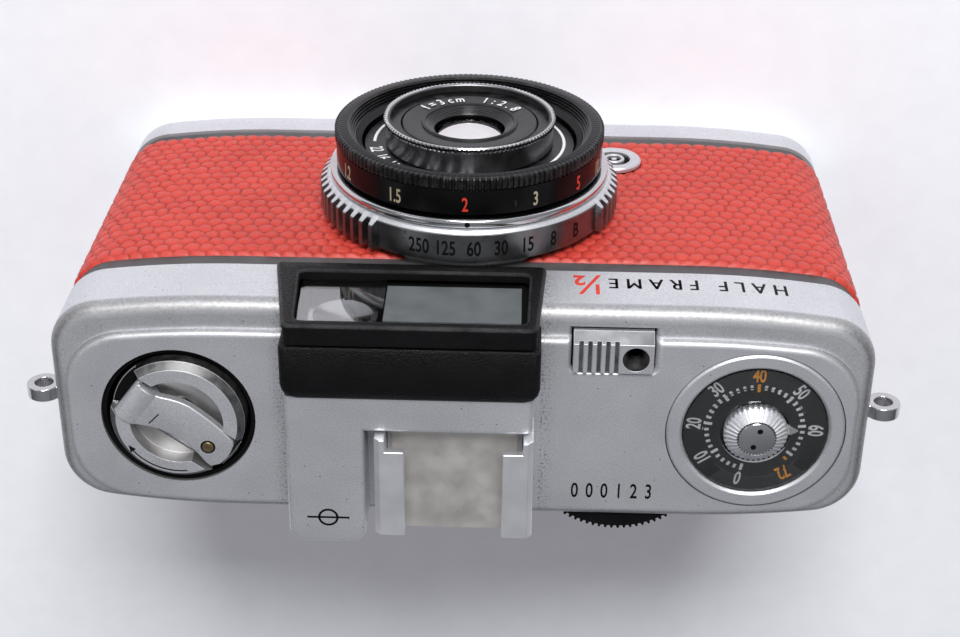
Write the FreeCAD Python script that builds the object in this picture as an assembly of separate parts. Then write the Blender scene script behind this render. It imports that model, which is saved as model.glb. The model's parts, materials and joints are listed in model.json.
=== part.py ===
"""Half frame 35 mm camera with a fixed 30 mm lens.

The camera stands upright: +Z is up, the lens faces -Y and +X is to the right of a
person who looks into the lens.  The origin is the mouth of the tripod bush, on the
plane that the camera stands on.  All lengths are millimetres.
"""
import FreeCAD
import Part
import math
import os

V = FreeCAD.Vector
UP = V(0, 0, 1)
TO_REAR = V(0, 1, 0)

# ---------------------------------------------------------------- driving dimensions
# Body outline in plan: the silver covers and the leather lie on it.
HALF_WIDTH = 54.0
FRONT_Y = -14.5
REAR_Y = 18.0
CORNER_R = 7.0
CROWN_START = 30.0          # beyond this the front and the rear fall back towards the corners
CROWN_R = 135.0
SKIN = 0.45                 # leather thickness, also the depth of the bare casting bands
BACK_WALL = 0.5             # pressed sheet of the back
COVER_WALL = 0.8            # pressed sheet of the top cover

# Levels, from the base up.
TRAY_TOP = 5.6
CASTING_BOTTOM = 5.75
LEATHER_BOTTOM = 7.7
LEATHER_TOP = 47.7
CASTING_TOP = 50.8
SHOULDER_Z = 61.3
PLATE_Z = 62.4
HUMP_Z = 67.8
HOOD_Z = 68.3
SHOE_Z = 69.2

SEAM_Y = 6.3                # side seam between the casting's leather and the back's

# Film path.
LENS_Z = 31.2
FILM_PLANE_Y = 13.6
GATE_WIDTH = 18.0
GATE_HEIGHT = 24.0
CHAMBER_TOP = 49.6
CASSETTE_R = 12.7
CASSETTE_TOP = 54.2
REWIND_X = 37.4
REWIND_Y = 2.5
SPOOL_X = -38.9
SPOOL_Y = 0.84
SPOOL_CHAMBER_R = 12.4
WIND_X = -21.3
WIND_Y = 8.0
SPROCKET_R = 6.05
SPROCKET_POCKET_R = 7.6
PERFORATION_SPAN = 28.17
GEAR_MODULE = 0.5
WIND_TEETH = 26
IDLER_TEETH = 15
SPOOL_TEETH = 20
GEAR_Z = 51.8
GEAR_HEIGHT = 1.8

# Top of the camera.
COUNTER_X = -38.9
COUNTER_Y = 2.8
COUNTER_BEZEL_R = 11.77
COUNTER_DISH_R = 9.64
WELL_R = 10.25
KNOB_R = 8.9
KNOB_HOLLOW_R = 6.2
WHEEL_R = 12.6
WHEEL_BOTTOM = 56.3
WHEEL_TOP = 60.1
BUTTON_X = (-24.9, -14.5)
BUTTON_Y = (-10.3, -6.05)
BUTTON_TOP = 63.0
BUTTON_NOSE_Y = -11.6       # front of the release bar's sloping nose
HUMP_X = (-9.5, 22.6)
HOOD_X = (-9.8, 22.3)
HOOD_Y = (-15.2, -4.5)
HUMP_LEG_X = 12.3
HUMP_LEG_Y = 18.4
EYE_TUBE_REAR = 16.7        # rear end of the viewfinder tube
HUMP_SHELF_Y = 0.8
SHOE_X = (-9.7, 11.0)
SHOE_LIP_X = (-5.7, 7.1)
SHOE_Y = (1.1, 16.0)
SHOE_FLOOR_REAR = 17.2
SHOE_FLOOR_Z = 65.4
RAIL_WALL = 1.4
SYNC_X = -21.3
SYNC_Z = 15.4
LUG_Y = 1.8
LUG_Z = 57.0
EYE_X = 17.4
EYE_Z = 59.6
CLEAR_WINDOW = ((10.4, 20.9), (53.4, 66.6))
FROSTED_WINDOW = ((-7.4, 9.6), (55.2, 64.0))
TUBE_X = (9.9, 21.0)
TUBE_Z = (52.9, 66.6)
REAR_TUBE_X = (13.4, 21.4)
TUBE_STEP_Y = -0.2
STEM_X = -18.0
STEM_Y = -8.15
STEM_R = 1.2
GUIDE_TOP = 56.6
CRANK_HINGE = (43.4, -1.2)
CRANK_AXIS_Z = 62.75
CRANK_DIRECTION = (-0.8, 0.6)
CRANK_ROOM = (-3.2, 15.6)    # reach of the notches in the knob's rim, along the crank from its hinge
LOCK_X = 36.0
LOCK_Y = 1.0
LOCK_R = 7.2

# Lens rings: radius and the two ends along the optical axis.
SPEED_RING = (20.95, -20.2, -15.6)
SPEED_BAND_R = 20.1
INDEX_RING = (19.5, -21.5, -20.35)
FOCUS_RING = (18.77, -27.2, -21.75)
APERTURE_RING = (11.95, -28.4, -24.6)
SCALE_FACE_Y = -24.4
BARREL_R = 14.75
BARREL_REAR_Y = -15.4
HOUSING_R = (14.9, 17.4)
FRONT_GLASS_R = 5.3
REAR_GLASS_R = 4.6
FIT = 0.06                  # radial running clearance
GAP = 0.3                   # clearance between pieces that never touch


# ---------------------------------------------------------------- shape helpers
def box(x, y, z):
    """Box between two limits on each axis."""
    return Part.makeBox(x[1] - x[0], y[1] - y[0], z[1] - z[0], V(x[0], y[0], z[0]))


def rounded_face(x, y, z, radius):
    """Flat face with the plan of a rectangle whose corners are arcs."""
    (x0, x1), (y0, y1) = x, y
    mid = radius * (1 - math.sqrt(0.5))
    corners = (((x1, y0 + radius), (x1 - mid, y0 + mid), (x1 - radius, y0)),
               ((x0 + radius, y0), (x0 + mid, y0 + mid), (x0, y0 + radius)),
               ((x0, y1 - radius), (x0 + mid, y1 - mid), (x0 + radius, y1)),
               ((x1 - radius, y1), (x1 - mid, y1 - mid), (x1, y1 - radius)))
    edges = []
    last = None
    for corner in corners:
        start, middle, end = [V(px, py, z) for px, py in corner]
        if last is not None:
            edges.append(Part.LineSegment(last, start).toShape())
        edges.append(Part.Arc(start, middle, end).toShape())
        last = end
    first = V(x1, y0 + radius, z)
    edges.append(Part.LineSegment(last, first).toShape())
    return Part.Face(Part.Wire(edges))


def rounded_block(x, y, z, radius):
    """Upright prism with rounded corners in plan."""
    return rounded_face(x, y, z[0], radius).extrude(V(0, 0, z[1] - z[0]))


def crowned_block(half_width, y, z, corner, inset=0.0):
    """Upright prism whose front and rear are flat in the middle and fall back to rounded corners."""
    corner_x = half_width - corner
    reach = CROWN_R - corner
    drop = CROWN_R - math.sqrt(reach ** 2 - (corner_x - CROWN_START) ** 2)
    lean = math.asin((corner_x - CROWN_START) / reach)
    crown, tip = CROWN_R - inset, corner - inset

    def bent(radius, centre, turn):
        return (centre[0] + radius * math.sin(turn), centre[1] - radius * math.cos(turn))

    crown_centre = (CROWN_START, y[0] + CROWN_R)
    corner_centre = (corner_x, y[0] + drop)
    quarter_turn = math.pi / 2
    front_right = [
        (CROWN_START, y[0] + inset),
        bent(crown, crown_centre, lean / 2),
        bent(crown, crown_centre, lean),
        bent(tip, corner_centre, (lean + quarter_turn) / 2),
        bent(tip, corner_centre, quarter_turn),
    ]
    middle = y[0] + y[1]
    rear_right = [(px, middle - py) for px, py in reversed(front_right)]
    right = front_right + rear_right
    ring = right + [(-px, middle - py) for px, py in right]
    points = [V(px, py, z[0]) for px, py in ring]
    edges = []
    bend_points = len(front_right)
    for start in range(0, len(points), bend_points):
        first, second, third, fourth, fifth = points[start:start + bend_points]
        edges.append(Part.Arc(first, second, third).toShape())
        edges.append(Part.Arc(third, fourth, fifth).toShape())
        edges.append(Part.makeLine(fifth, points[(start + bend_points) % len(points)]))
    return Part.Face(Part.Wire(edges)).extrude(V(0, 0, z[1] - z[0]))


def body_block(z, inset=0.0):
    """Prism on the body's outline, drawn in by an even inset."""
    return crowned_block(HALF_WIDTH, (FRONT_Y, REAR_Y), z, CORNER_R, inset)


def post(x, y, z, radius):
    """Upright cylinder between two levels."""
    return Part.makeCylinder(radius, z[1] - z[0], V(x, y, z[0]), UP)


def tube(x, y, z, outer, inner):
    """Upright tube between two levels."""
    return post(x, y, z, outer).cut(post(x, y, z, inner))


def turned(x, y, profile):
    """Solid of revolution about an upright axis, from (radius, level) points."""
    points = [V(x + r, y, z) for r, z in profile]
    face = Part.Face(Part.makePolygon(points + [points[0]]))
    return face.revolve(V(x, y, 0), UP, 360)


def lens_turned(profile):
    """Solid of revolution about the optical axis, from (radius, y) points."""
    points = [V(r, y, LENS_Z) for r, y in profile]
    face = Part.Face(Part.makePolygon(points + [points[0]]))
    return face.revolve(V(0, 0, LENS_Z), TO_REAR, 360)


def lens_ring(outer, inner, front, rear):
    """Plain ring about the optical axis."""
    return lens_turned([(inner, front), (outer, front), (outer, rear), (inner, rear)])


def lens_disc(radius, front, rear):
    """Plain disc about the optical axis."""
    return Part.makeCylinder(radius, rear - front, V(0, front, LENS_Z), TO_REAR)


def lens_ball(radius, y):
    """Ball centred on the optical axis, built as a revolved half disc."""
    low, high = V(0, y - radius, LENS_Z), V(0, y + radius, LENS_Z)
    arc = Part.Arc(low, V(radius, y, LENS_Z), high).toShape()
    face = Part.Face(Part.Wire([arc, Part.LineSegment(high, low).toShape()]))
    return face.revolve(V(0, 0, LENS_Z), TO_REAR, 360)


def prism(points, depth):
    """Straight prism on a closed polygon of vectors."""
    return Part.Face(Part.makePolygon(points + [points[0]])).extrude(depth)


def toothed_points(teeth, root, tip, foot_share, top_share, skip=None):
    """Corners (radius, angle) of evenly spaced trapezoid teeth.

    The shares are the parts of one pitch that a tooth takes at its foot and its top.
    skip(angle) is true where the rim stays at root radius.
    """
    pitch = 2 * math.pi / teeth
    corners = []
    for tooth in range(teeth):
        middle = tooth * pitch
        if skip and skip(math.degrees(middle)):
            corners.append((root, middle))
            continue
        for radius, share in ((root, -foot_share), (tip, -top_share), (tip, top_share),
                              (root, foot_share)):
            corners.append((radius, middle + share * pitch / 2))
    return corners


def upright_gear(x, y, z, teeth, root, tip, foot_share=0.62, top_share=0.24):
    """Toothed wheel about an upright axis; its first tooth points along +X."""
    points = [V(x + r * math.cos(a), y + r * math.sin(a), z[0])
              for r, a in toothed_points(teeth, root, tip, foot_share, top_share)]
    return prism(points, V(0, 0, z[1] - z[0]))


def train_gear(x, y, teeth, turn):
    """One gear of the winding train, turned from where its first tooth points to +X."""
    pitch_r = GEAR_MODULE * teeth / 2
    gear = upright_gear(x, y, (GEAR_Z, GEAR_Z + GEAR_HEIGHT), teeth, pitch_r - 0.6, pitch_r + 0.36)
    return turn_z(gear, x, y, turn)


def mate_turn(turn, teeth, direction, mate_teeth):
    """Turn that puts a gap of the next gear where this gear's tooth meets it."""
    share = (direction - turn) / (360 / teeth) % 1
    return direction + 180 + (share + 0.5) * 360 / mate_teeth


def turn_z(shape, x, y, degrees):
    """Copy of a shape turned about an upright axis."""
    copy = shape.copy()
    copy.rotate(V(x, y, 0), UP, degrees)
    return copy


def rounded_edges(shape, radius, chosen):
    """Fillet the edges that the test picks."""
    return shape.makeFillet(radius, [edge for edge in shape.Edges if chosen(edge)])


def edge_within(edge, low, high):
    """True if an edge's box lies inside the given corners."""
    slack = 0.02
    bound = edge.BoundBox
    return (bound.XMin > low[0] - slack and bound.XMax < high[0] + slack
            and bound.YMin > low[1] - slack and bound.YMax < high[1] + slack
            and bound.ZMin > low[2] - slack and bound.ZMax < high[2] + slack)


# The winding train runs straight from the winding shaft to the take-up shaft.
TRAIN_DIRECTION = math.degrees(math.atan2(SPOOL_Y - WIND_Y, SPOOL_X - WIND_X))
IDLER_STEP = GEAR_MODULE * (WIND_TEETH + IDLER_TEETH) / 2
IDLER_X = WIND_X + IDLER_STEP * math.cos(math.radians(TRAIN_DIRECTION))
IDLER_Y = WIND_Y + IDLER_STEP * math.sin(math.radians(TRAIN_DIRECTION))
IDLER_TURN = mate_turn(0, WIND_TEETH, TRAIN_DIRECTION, IDLER_TEETH)
IDLER_POST_R = 1.2


# ---------------------------------------------------------------- body and skins
def body_casting():
    """Die-cast chassis: front wall, film chambers, gate tunnel and roof."""
    shell = body_block((CASTING_BOTTOM, CASTING_TOP), SKIN)
    front_part = shell.common(box((-60, 60), (-20, SEAM_Y), (0, 60)))
    core = body_block((CASTING_BOTTOM, CHAMBER_TOP), SKIN + BACK_WALL + GAP)
    core = core.common(box((-60, 60), (SEAM_Y - 1, FILM_PLANE_Y), (0, 60)))
    roof = body_block((CHAMBER_TOP, CASTING_TOP), SKIN)
    skirt = body_block((2.6, CASTING_BOTTOM), 2.2)
    skirt = skirt.common(box((-60, 60), (-20, FILM_PLANE_Y), (0, 60)))
    tower = post(REWIND_X, REWIND_Y, (CASTING_TOP - 1, CASSETTE_TOP + 1.0), CASSETTE_R + 1.2)
    tower = tower.common(box((0, 60), (FRONT_Y + 1.2, REAR_Y - 1.2), (40, 60)))
    idler_post = post(IDLER_X, IDLER_Y, (CASTING_TOP - 1, GEAR_Z + GEAR_HEIGHT + 0.3), IDLER_POST_R)
    casting = front_part.fuse([core, roof, skirt, tower, idler_post])
    low = 2.0
    hollows = [
        post(REWIND_X, REWIND_Y, (low, CASSETTE_TOP), CASSETTE_R),
        box((REWIND_X - CASSETTE_R, REWIND_X + CASSETTE_R), (REWIND_Y, REAR_Y), (low, CHAMBER_TOP)),
        post(SPOOL_X, SPOOL_Y, (low, CHAMBER_TOP), SPOOL_CHAMBER_R),
        box((SPOOL_X - SPOOL_CHAMBER_R, SPOOL_X + SPOOL_CHAMBER_R), (SPOOL_Y, REAR_Y),
            (low, CHAMBER_TOP)),
        post(WIND_X, WIND_Y, (low, CHAMBER_TOP), SPROCKET_POCKET_R),
        box((WIND_X - SPROCKET_POCKET_R, WIND_X + SPROCKET_POCKET_R), (WIND_Y, REAR_Y),
            (low, CHAMBER_TOP)),
        box((-14, 25), (-9, FILM_PLANE_Y - 1), (low, CASTING_BOTTOM + 2)),
        box((-GATE_WIDTH / 2, GATE_WIDTH / 2), (-12, REAR_Y),
            (LENS_Z - GATE_HEIGHT / 2, LENS_Z + GATE_HEIGHT / 2)),
        lens_disc(HOUSING_R[0] + 0.05, FRONT_Y, -7.2),
        post(WIND_X, WIND_Y, (CHAMBER_TOP - 1, CASTING_TOP + 1), 2.5 + FIT),
        post(SPOOL_X, SPOOL_Y, (CHAMBER_TOP - 1, CASTING_TOP + 1), 2.5 + FIT),
        post(REWIND_X, REWIND_Y, (CASSETTE_TOP - 1, CASSETTE_TOP + 2), 2.5 + FIT),
    ]
    return casting.cut(hollows)


def leather_skin(front):
    """Leather of the front and sides, or of the back, on the body's outline."""
    skin = body_block((LEATHER_BOTTOM, LEATHER_TOP)).cut(body_block((0, 60), SKIN))
    if front:
        skin = skin.common(box((-60, 60), (-20, SEAM_Y), (0, 60)))
        return skin.cut(lens_disc(HOUSING_R[1] + 0.8, -20, 0))
    return skin.common(box((-60, 60), (SEAM_Y + 0.15, 20), (0, 60)))


def sync_socket():
    """Flash socket beside the lens: round plate, insulator, sleeve and centre pin."""
    def disc(radius, front, depth):
        return Part.makeCylinder(radius, depth, V(SYNC_X, front, SYNC_Z), TO_REAR)

    front = FRONT_Y - 0.75
    plate = disc(4.0, front, 0.7).cut(disc(2.3, front - 1, 3))
    insulator = disc(2.25, FRONT_Y - 0.65, 0.6)
    sleeve = disc(1.5, front, 0.7).cut(disc(1.1, front, 0.7))
    pin = disc(0.45, front, 0.7)
    return Part.makeCompound([plate, insulator.fuse([sleeve, pin])])


# ---------------------------------------------------------------- top cover
def cover_outer():
    """Outside form of the top cover: shouldered box with a raised plate and hump."""
    base = body_block((CASTING_TOP, SHOULDER_Z))
    base = rounded_edges(base, 1.9, lambda e: e.BoundBox.ZMin > SHOULDER_Z - 0.01)
    plate = crowned_block(HALF_WIDTH - 1.7, (FRONT_Y + 3.9, REAR_Y - 1.7),
                          (SHOULDER_Z - 1, PLATE_Z), 8.6)
    plate = rounded_edges(plate, 0.85, lambda e: e.BoundBox.ZMin > PLATE_Z - 0.01)
    shelf = rounded_block(HUMP_X, (HOOD_Y[1] - 3.0, HUMP_SHELF_Y), (PLATE_Z - 2, HUMP_Z), 1.0)
    leg = rounded_block((HUMP_LEG_X, HUMP_X[1]), (HOOD_Y[1] - 3.0, HUMP_LEG_Y),
                        (CASTING_TOP + 1.2, HUMP_Z), 2.0)
    under_shoe = box((SHOE_X[0] + RAIL_WALL + 0.1, SHOE_X[1] - RAIL_WALL - 0.1),
                     (HUMP_SHELF_Y - 1, SHOE_FLOOR_REAR - 0.5), (PLATE_Z - 2, SHOE_FLOOR_Z - 0.8))
    hump = shelf.fuse([leg]).removeSplitter()
    top_edges = [e for e in hump.Edges if e.BoundBox.ZMin > HUMP_Z - 0.01]
    hump = hump.makeFillet(0.7, top_edges)
    return base.fuse([plate, hump, under_shoe])


def cover_inner():
    """Hollow inside the top cover."""
    wall = COVER_WALL
    hall = body_block((CASTING_TOP - 1, SHOULDER_Z - 0.7), wall)
    shelf = rounded_block((HUMP_X[0] + wall, HUMP_X[1] - wall), (HOOD_Y[1] - 4.0, HUMP_SHELF_Y - wall),
                          (SHOULDER_Z - 2, HUMP_Z - wall), 0.5)
    leg = rounded_block((HUMP_LEG_X + wall, HUMP_X[1] - wall), (HOOD_Y[1] - 4.0, HUMP_LEG_Y - wall),
                        (CASTING_TOP + 2, HUMP_Z - wall), 1.2)
    under_shoe = box((SHOE_X[0] + RAIL_WALL + 0.9, SHOE_X[1] - RAIL_WALL - 0.9),
                     (HUMP_SHELF_Y - 2, SHOE_FLOOR_REAR - 1.3), (SHOULDER_Z - 2, SHOE_FLOOR_Z - 1.6))
    return hall.fuse([shelf, leg, under_shoe])


def button_opening():
    """Opening round the release bar, square in front and rounded behind."""
    x, y = (-26.0, -13.7), (-12.0, -5.5)
    opening = box(x, y, (SHOULDER_Z - 3, PLATE_Z + 3))
    return rounded_edges(opening, 1.4, lambda e: edge_within(
        e, (x[0], y[1], 0), (x[1], y[1], 80)) and e.Length > 4 and e.BoundBox.XLength < 0.1)


def top_cover():
    """Satin chrome top cover with its openings."""
    cover = cover_outer().cut(cover_inner())
    hood_space = box((HOOD_X[0] - 0.05, HOOD_X[1] + 0.05), (-20, HOOD_Y[1]), (40, 80))
    wheel_slot = box((WIND_X - 11.6, WIND_X + 11.6), (10, 20), (WHEEL_BOTTOM - 0.5, WHEEL_TOP + 0.5))
    openings = [
        hood_space,
        wheel_slot,
        button_opening(),
        post(COUNTER_X, COUNTER_Y, (40, 80), COUNTER_BEZEL_R + 0.12),
        post(REWIND_X, REWIND_Y, (55, 80), WELL_R),
        Part.makeCylinder(3.2, 10, V(EYE_X, 10, EYE_Z), TO_REAR),
    ]
    cover = cover.cut(openings)
    return cover.removeSplitter()


def viewfinder_hood():
    """Black hood over the viewfinder's front, with one wide window."""
    hood = rounded_block(HOOD_X, HOOD_Y, (CASTING_TOP + 0.1, HOOD_Z), 0.9)
    hood = rounded_edges(hood, 0.7, lambda e: e.BoundBox.ZMin > HOOD_Z - 0.01)
    window = box((-8.5, 20.6), (-20, -12), (53.0, 67.0))
    inside = box((HOOD_X[0] + 1.0, HOOD_X[1] - 1.0), (-13.9, 0), (52.2, HOOD_Z - 0.9))
    relief = box((-20, 30), (-11.8, 0), (40, CASTING_TOP + 1.6))
    return hood.cut([window, inside, relief])


def viewfinder_windows():
    """Clear viewing window and the frosted window that lights the frame lines."""
    return [box((x[0] - 0.3, x[1] + 0.3), (-13.85, -13.15), (z[0] - 0.3, z[1] + 0.3))
            for x, z in (CLEAR_WINDOW, FROSTED_WINDOW)]


def viewfinder_housing():
    """Mask behind the windows and the light-tight tube behind it."""
    mask = box((-8.75, 21.25), (-13.1, -12.4), (52.3, 67.3))
    z = (TUBE_Z[0] + 0.8, TUBE_Z[1] - 0.8)
    tubes = [box(TUBE_X, (-12.7, TUBE_STEP_Y), TUBE_Z),
             box(REAR_TUBE_X, (TUBE_STEP_Y - 0.5, EYE_TUBE_REAR), TUBE_Z)]
    bores = [box((TUBE_X[0] + 0.8, TUBE_X[1] - 0.8), (-12.8, TUBE_STEP_Y - 0.8), z),
             box((REAR_TUBE_X[0] + 0.8, REAR_TUBE_X[1] - 0.8), (TUBE_STEP_Y - 1, EYE_TUBE_REAR + 1), z),
             box((TUBE_X[0] - 1, TUBE_X[0] + 1.2), (-9.2, -1.4), (56.0, 63.5))]
    windows = [box(x, (-14, -12.75), z) for x, z in (CLEAR_WINDOW, FROSTED_WINDOW)]
    windows.append(box(FROSTED_WINDOW[0], (-14, -12), FROSTED_WINDOW[1]))
    return mask.fuse(tubes).cut(bores + windows)


def viewfinder_optics():
    """Objective, the pair of slanted mirrors and the eyepiece."""
    middle_x = sum(TUBE_X) / 2
    middle_z = sum(TUBE_Z) / 2
    objective = Part.makeCylinder(4.6, 1.4, V(middle_x, -11.6, middle_z), TO_REAR)
    objective = objective.cut(Part.makeSphere(13.0, V(middle_x, -24.0, middle_z)))
    splitter = slanted_mirror(middle_x, -4.3, middle_z, 4.4)
    mirror = slanted_mirror(1.1, -6.6, 59.6, 3.9)
    lens = Part.makeCylinder(2.6, 1.6, V(EYE_X, EYE_TUBE_REAR + 0.3, EYE_Z), TO_REAR)
    rim = Part.makeCylinder(4.2, 1.5, V(EYE_X, HUMP_LEG_Y + 0.02, EYE_Z), TO_REAR)
    neck = Part.makeCylinder(3.15, 2.4, V(EYE_X, EYE_TUBE_REAR + 0.1, EYE_Z), TO_REAR)
    frame = rim.fuse(neck).cut(Part.makeCylinder(2.62, 8, V(EYE_X, EYE_TUBE_REAR - 3, EYE_Z), TO_REAR))
    return objective, Part.makeCompound([splitter, mirror]), Part.makeCompound([frame, lens])


def slanted_mirror(x, y, z, half):
    """Square plate that stands upright at 45 degrees to the line of sight."""
    plate = box((-half, half), (-0.4, 0.4), (-half, half))
    plate.rotate(V(0, 0, 0), UP, 45)
    plate.translate(V(x, y, z))
    return plate


def accessory_shoe():
    """The shoe's floor plate and its two folded rails."""
    floor = box((SHOE_X[0] + 2.1, SHOE_X[1] - 2.1), (SHOE_Y[0] + 0.1, SHOE_FLOOR_REAR),
                (SHOE_FLOOR_Z - 0.75, SHOE_FLOOR_Z))
    rails = []
    for outer, lip, side in ((SHOE_X[0], SHOE_LIP_X[0], 1), (SHOE_X[1], SHOE_LIP_X[1], -1)):
        wall = box(sorted((outer, outer + side * RAIL_WALL)), SHOE_Y, (PLATE_Z + 0.05, SHOE_Z))
        top = box(sorted((outer, lip)), (SHOE_Y[0] + 1.8, SHOE_Y[1]), (SHOE_Z - 1.2, SHOE_Z))
        rail = wall.fuse(top).removeSplitter()
        edge = [e for e in rail.Edges if abs(e.BoundBox.XMin - outer) < 0.01
                and e.BoundBox.XLength < 0.01 and e.BoundBox.ZMin > SHOE_Z - 0.01]
        rails.append(rail.makeChamfer(0.7, edge))
    return floor, Part.makeCompound(rails)


def strap_lugs():
    """Two round eyelets that stand out of the cover's ends."""
    lugs = []
    for side in (-1, 1):
        x = side * 56.4
        ring = Part.makeCylinder(2.3, 1.9, V(x, LUG_Y - 0.95, LUG_Z), TO_REAR)
        stem = box(sorted((side * HALF_WIDTH, x)), (LUG_Y - 0.95, LUG_Y + 0.95),
                   (LUG_Z - 1.3, LUG_Z + 1.3))
        hole = Part.makeCylinder(1.2, 4, V(x, LUG_Y - 2, LUG_Z), TO_REAR)
        lugs.append(ring.fuse(stem).cut(hole))
    return Part.makeCompound(lugs)


def counter_parts():
    """Fixed parts of the film counter: bezel, dial and the clear ring over it."""
    x, y = COUNTER_X, COUNTER_Y
    bezel = turned(x, y, [(COUNTER_DISH_R, 60.6), (COUNTER_BEZEL_R, 60.6), (COUNTER_BEZEL_R, 62.3),
                          (COUNTER_BEZEL_R - 0.3, 62.6), (COUNTER_DISH_R + 0.35, 62.6),
                          (COUNTER_DISH_R, 62.25)])
    dial = tube(x, y, (60.65, 61.3), COUNTER_DISH_R - 0.02, 1.1)
    window = turned(x, y, [(4.6, 62.15), (7.0, 62.3), (9.5, 61.9), (9.5, 62.35), (7.0, 62.85),
                           (4.6, 62.7)])
    return bezel, dial, window


def rewind_well():
    """Dark cup that the rewind knob sits in."""
    cup = post(REWIND_X, REWIND_Y, (56.6, 61.9), WELL_R - 0.03)
    cup = cup.cut(post(REWIND_X, REWIND_Y, (57.4, 70), WELL_R - 0.65))
    return cup.cut(post(REWIND_X, REWIND_Y, (50, 60), 2.5 + FIT))


def button_guide():
    """Plate under the release bar that guides its stem."""
    plate = box((-27.0, -12.7), (-13.0, -5.2), (GUIDE_TOP - 0.8, GUIDE_TOP))
    return plate.cut(post(STEM_X, STEM_Y, (50, 60), STEM_R + FIT))


def shutter_button():
    """Release bar with grooves, a cable release socket and its stem."""
    bar = box(BUTTON_X, BUTTON_Y, (BUTTON_TOP - 2.6, BUTTON_TOP))
    nose = prism([V(BUTTON_X[0], BUTTON_Y[0], BUTTON_TOP),
                  V(BUTTON_X[0], BUTTON_NOSE_Y, BUTTON_TOP - 1.5),
                  V(BUTTON_X[0], BUTTON_NOSE_Y, BUTTON_TOP - 2.6),
                  V(BUTTON_X[0], BUTTON_Y[0], BUTTON_TOP - 2.6)],
                 V(BUTTON_X[1] - BUTTON_X[0], 0, 0))
    stem = post(STEM_X, STEM_Y, (53.6, BUTTON_TOP - 2.0), STEM_R)
    body = bar.fuse([nose, stem])
    grooves = [box((x - 0.3, x + 0.3), (BUTTON_Y[0] - 0.3, BUTTON_Y[1] + 1), (BUTTON_TOP - 0.45, 80))
               for x in (-15.5, -16.65, -17.8, -18.95, -20.1)]
    socket = Part.makeCone(0.9, 1.95, 3.2, V(-22.6, -8.15, BUTTON_TOP - 2.6), UP)
    return body.cut(grooves + [socket])


def button_spring():
    """Return spring of the release bar, a coil round the stem."""
    bottom, top, turns = GUIDE_TOP + 0.05, BUTTON_TOP - 2.65, 3
    wire = 0.16
    helix = Part.makeHelix((top - bottom - 2 * wire) / turns, top - bottom - 2 * wire, 1.75)
    helix.translate(V(STEM_X, STEM_Y, bottom + wire))
    start = helix.Vertexes[0].Point
    corners = [start + V(wire * math.cos(a), 0, wire * math.sin(a))
               for a in [math.radians(22.5 + 45 * k) for k in range(8)]]
    section = Part.makePolygon(corners + [corners[0]])
    return Part.Wire(helix.Edges).makePipeShell([section], True, True)


# ---------------------------------------------------------------- winding side
def wind_wheel():
    """Knurled thumb wheel on the winding shaft."""
    wheel = upright_gear(WIND_X, WIND_Y, (WHEEL_BOTTOM, WHEEL_TOP), 90, WHEEL_R - 0.45, WHEEL_R)
    return wheel.cut(post(WIND_X, WIND_Y, (50, 70), 2.5 + 0.01))


def winding_shaft():
    """Shaft of the wheel and the sprocket, with the gear that drives the spool."""
    gear = train_gear(WIND_X, WIND_Y, WIND_TEETH, 0)
    return gear.fuse(post(WIND_X, WIND_Y, (9.0, WHEEL_TOP + 0.2), 2.5))


def idler_gear():
    """Small gear between the winding shaft's gear and the spool's."""
    gear = train_gear(IDLER_X, IDLER_Y, IDLER_TEETH, IDLER_TURN)
    return gear.cut(post(IDLER_X, IDLER_Y, (50, 60), IDLER_POST_R + FIT))


def film_sprocket():
    """Sprocket drum with a row of eight teeth for each edge of the film."""
    drum = tube(WIND_X, WIND_Y, (12.0, CHAMBER_TOP - 0.4), SPROCKET_R, 2.51)
    waist = tube(WIND_X, WIND_Y, (20.0, LENS_Z + 11.2), SPROCKET_R + 1, SPROCKET_R - 1.6)
    drum = drum.cut(waist)
    teeth = []
    for row in (-0.5, 0.5):
        z = LENS_Z + row * PERFORATION_SPAN
        for step in range(8):
            tooth = Part.makeCone(0.85, 0.45, 1.2, V(WIND_X + SPROCKET_R - 0.2, WIND_Y, z), V(1, 0, 0))
            teeth.append(turn_z(tooth, WIND_X, WIND_Y, 45 * step + 22.5))
    return drum.fuse(teeth)


def take_up_spool():
    """Slotted spool that the film winds on."""
    x, y = SPOOL_X, SPOOL_Y
    spool = tube(x, y, (9.0, CHAMBER_TOP - 0.4), 5.0, 2.51)
    flanges = [tube(x, y, (z, z + 1.0), 8.5, 2.51) for z in (11.6, CHAMBER_TOP - 1.4)]
    spool = spool.fuse(flanges)
    slots = [turn_z(box((x + 3, x + 6), (y - 0.5, y + 0.5), (15.0, 47.0)), x, y, 120 * k)
             for k in range(3)]
    return spool.cut(slots)


def take_up_gear():
    """Take-up shaft with its gear, in mesh with the idler."""
    turn = mate_turn(IDLER_TURN, IDLER_TEETH, TRAIN_DIRECTION, SPOOL_TEETH)
    gear = train_gear(SPOOL_X, SPOOL_Y, SPOOL_TEETH, turn)
    return gear.fuse(post(SPOOL_X, SPOOL_Y, (8.0, GEAR_Z + GEAR_HEIGHT + 0.4), 2.5))


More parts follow.
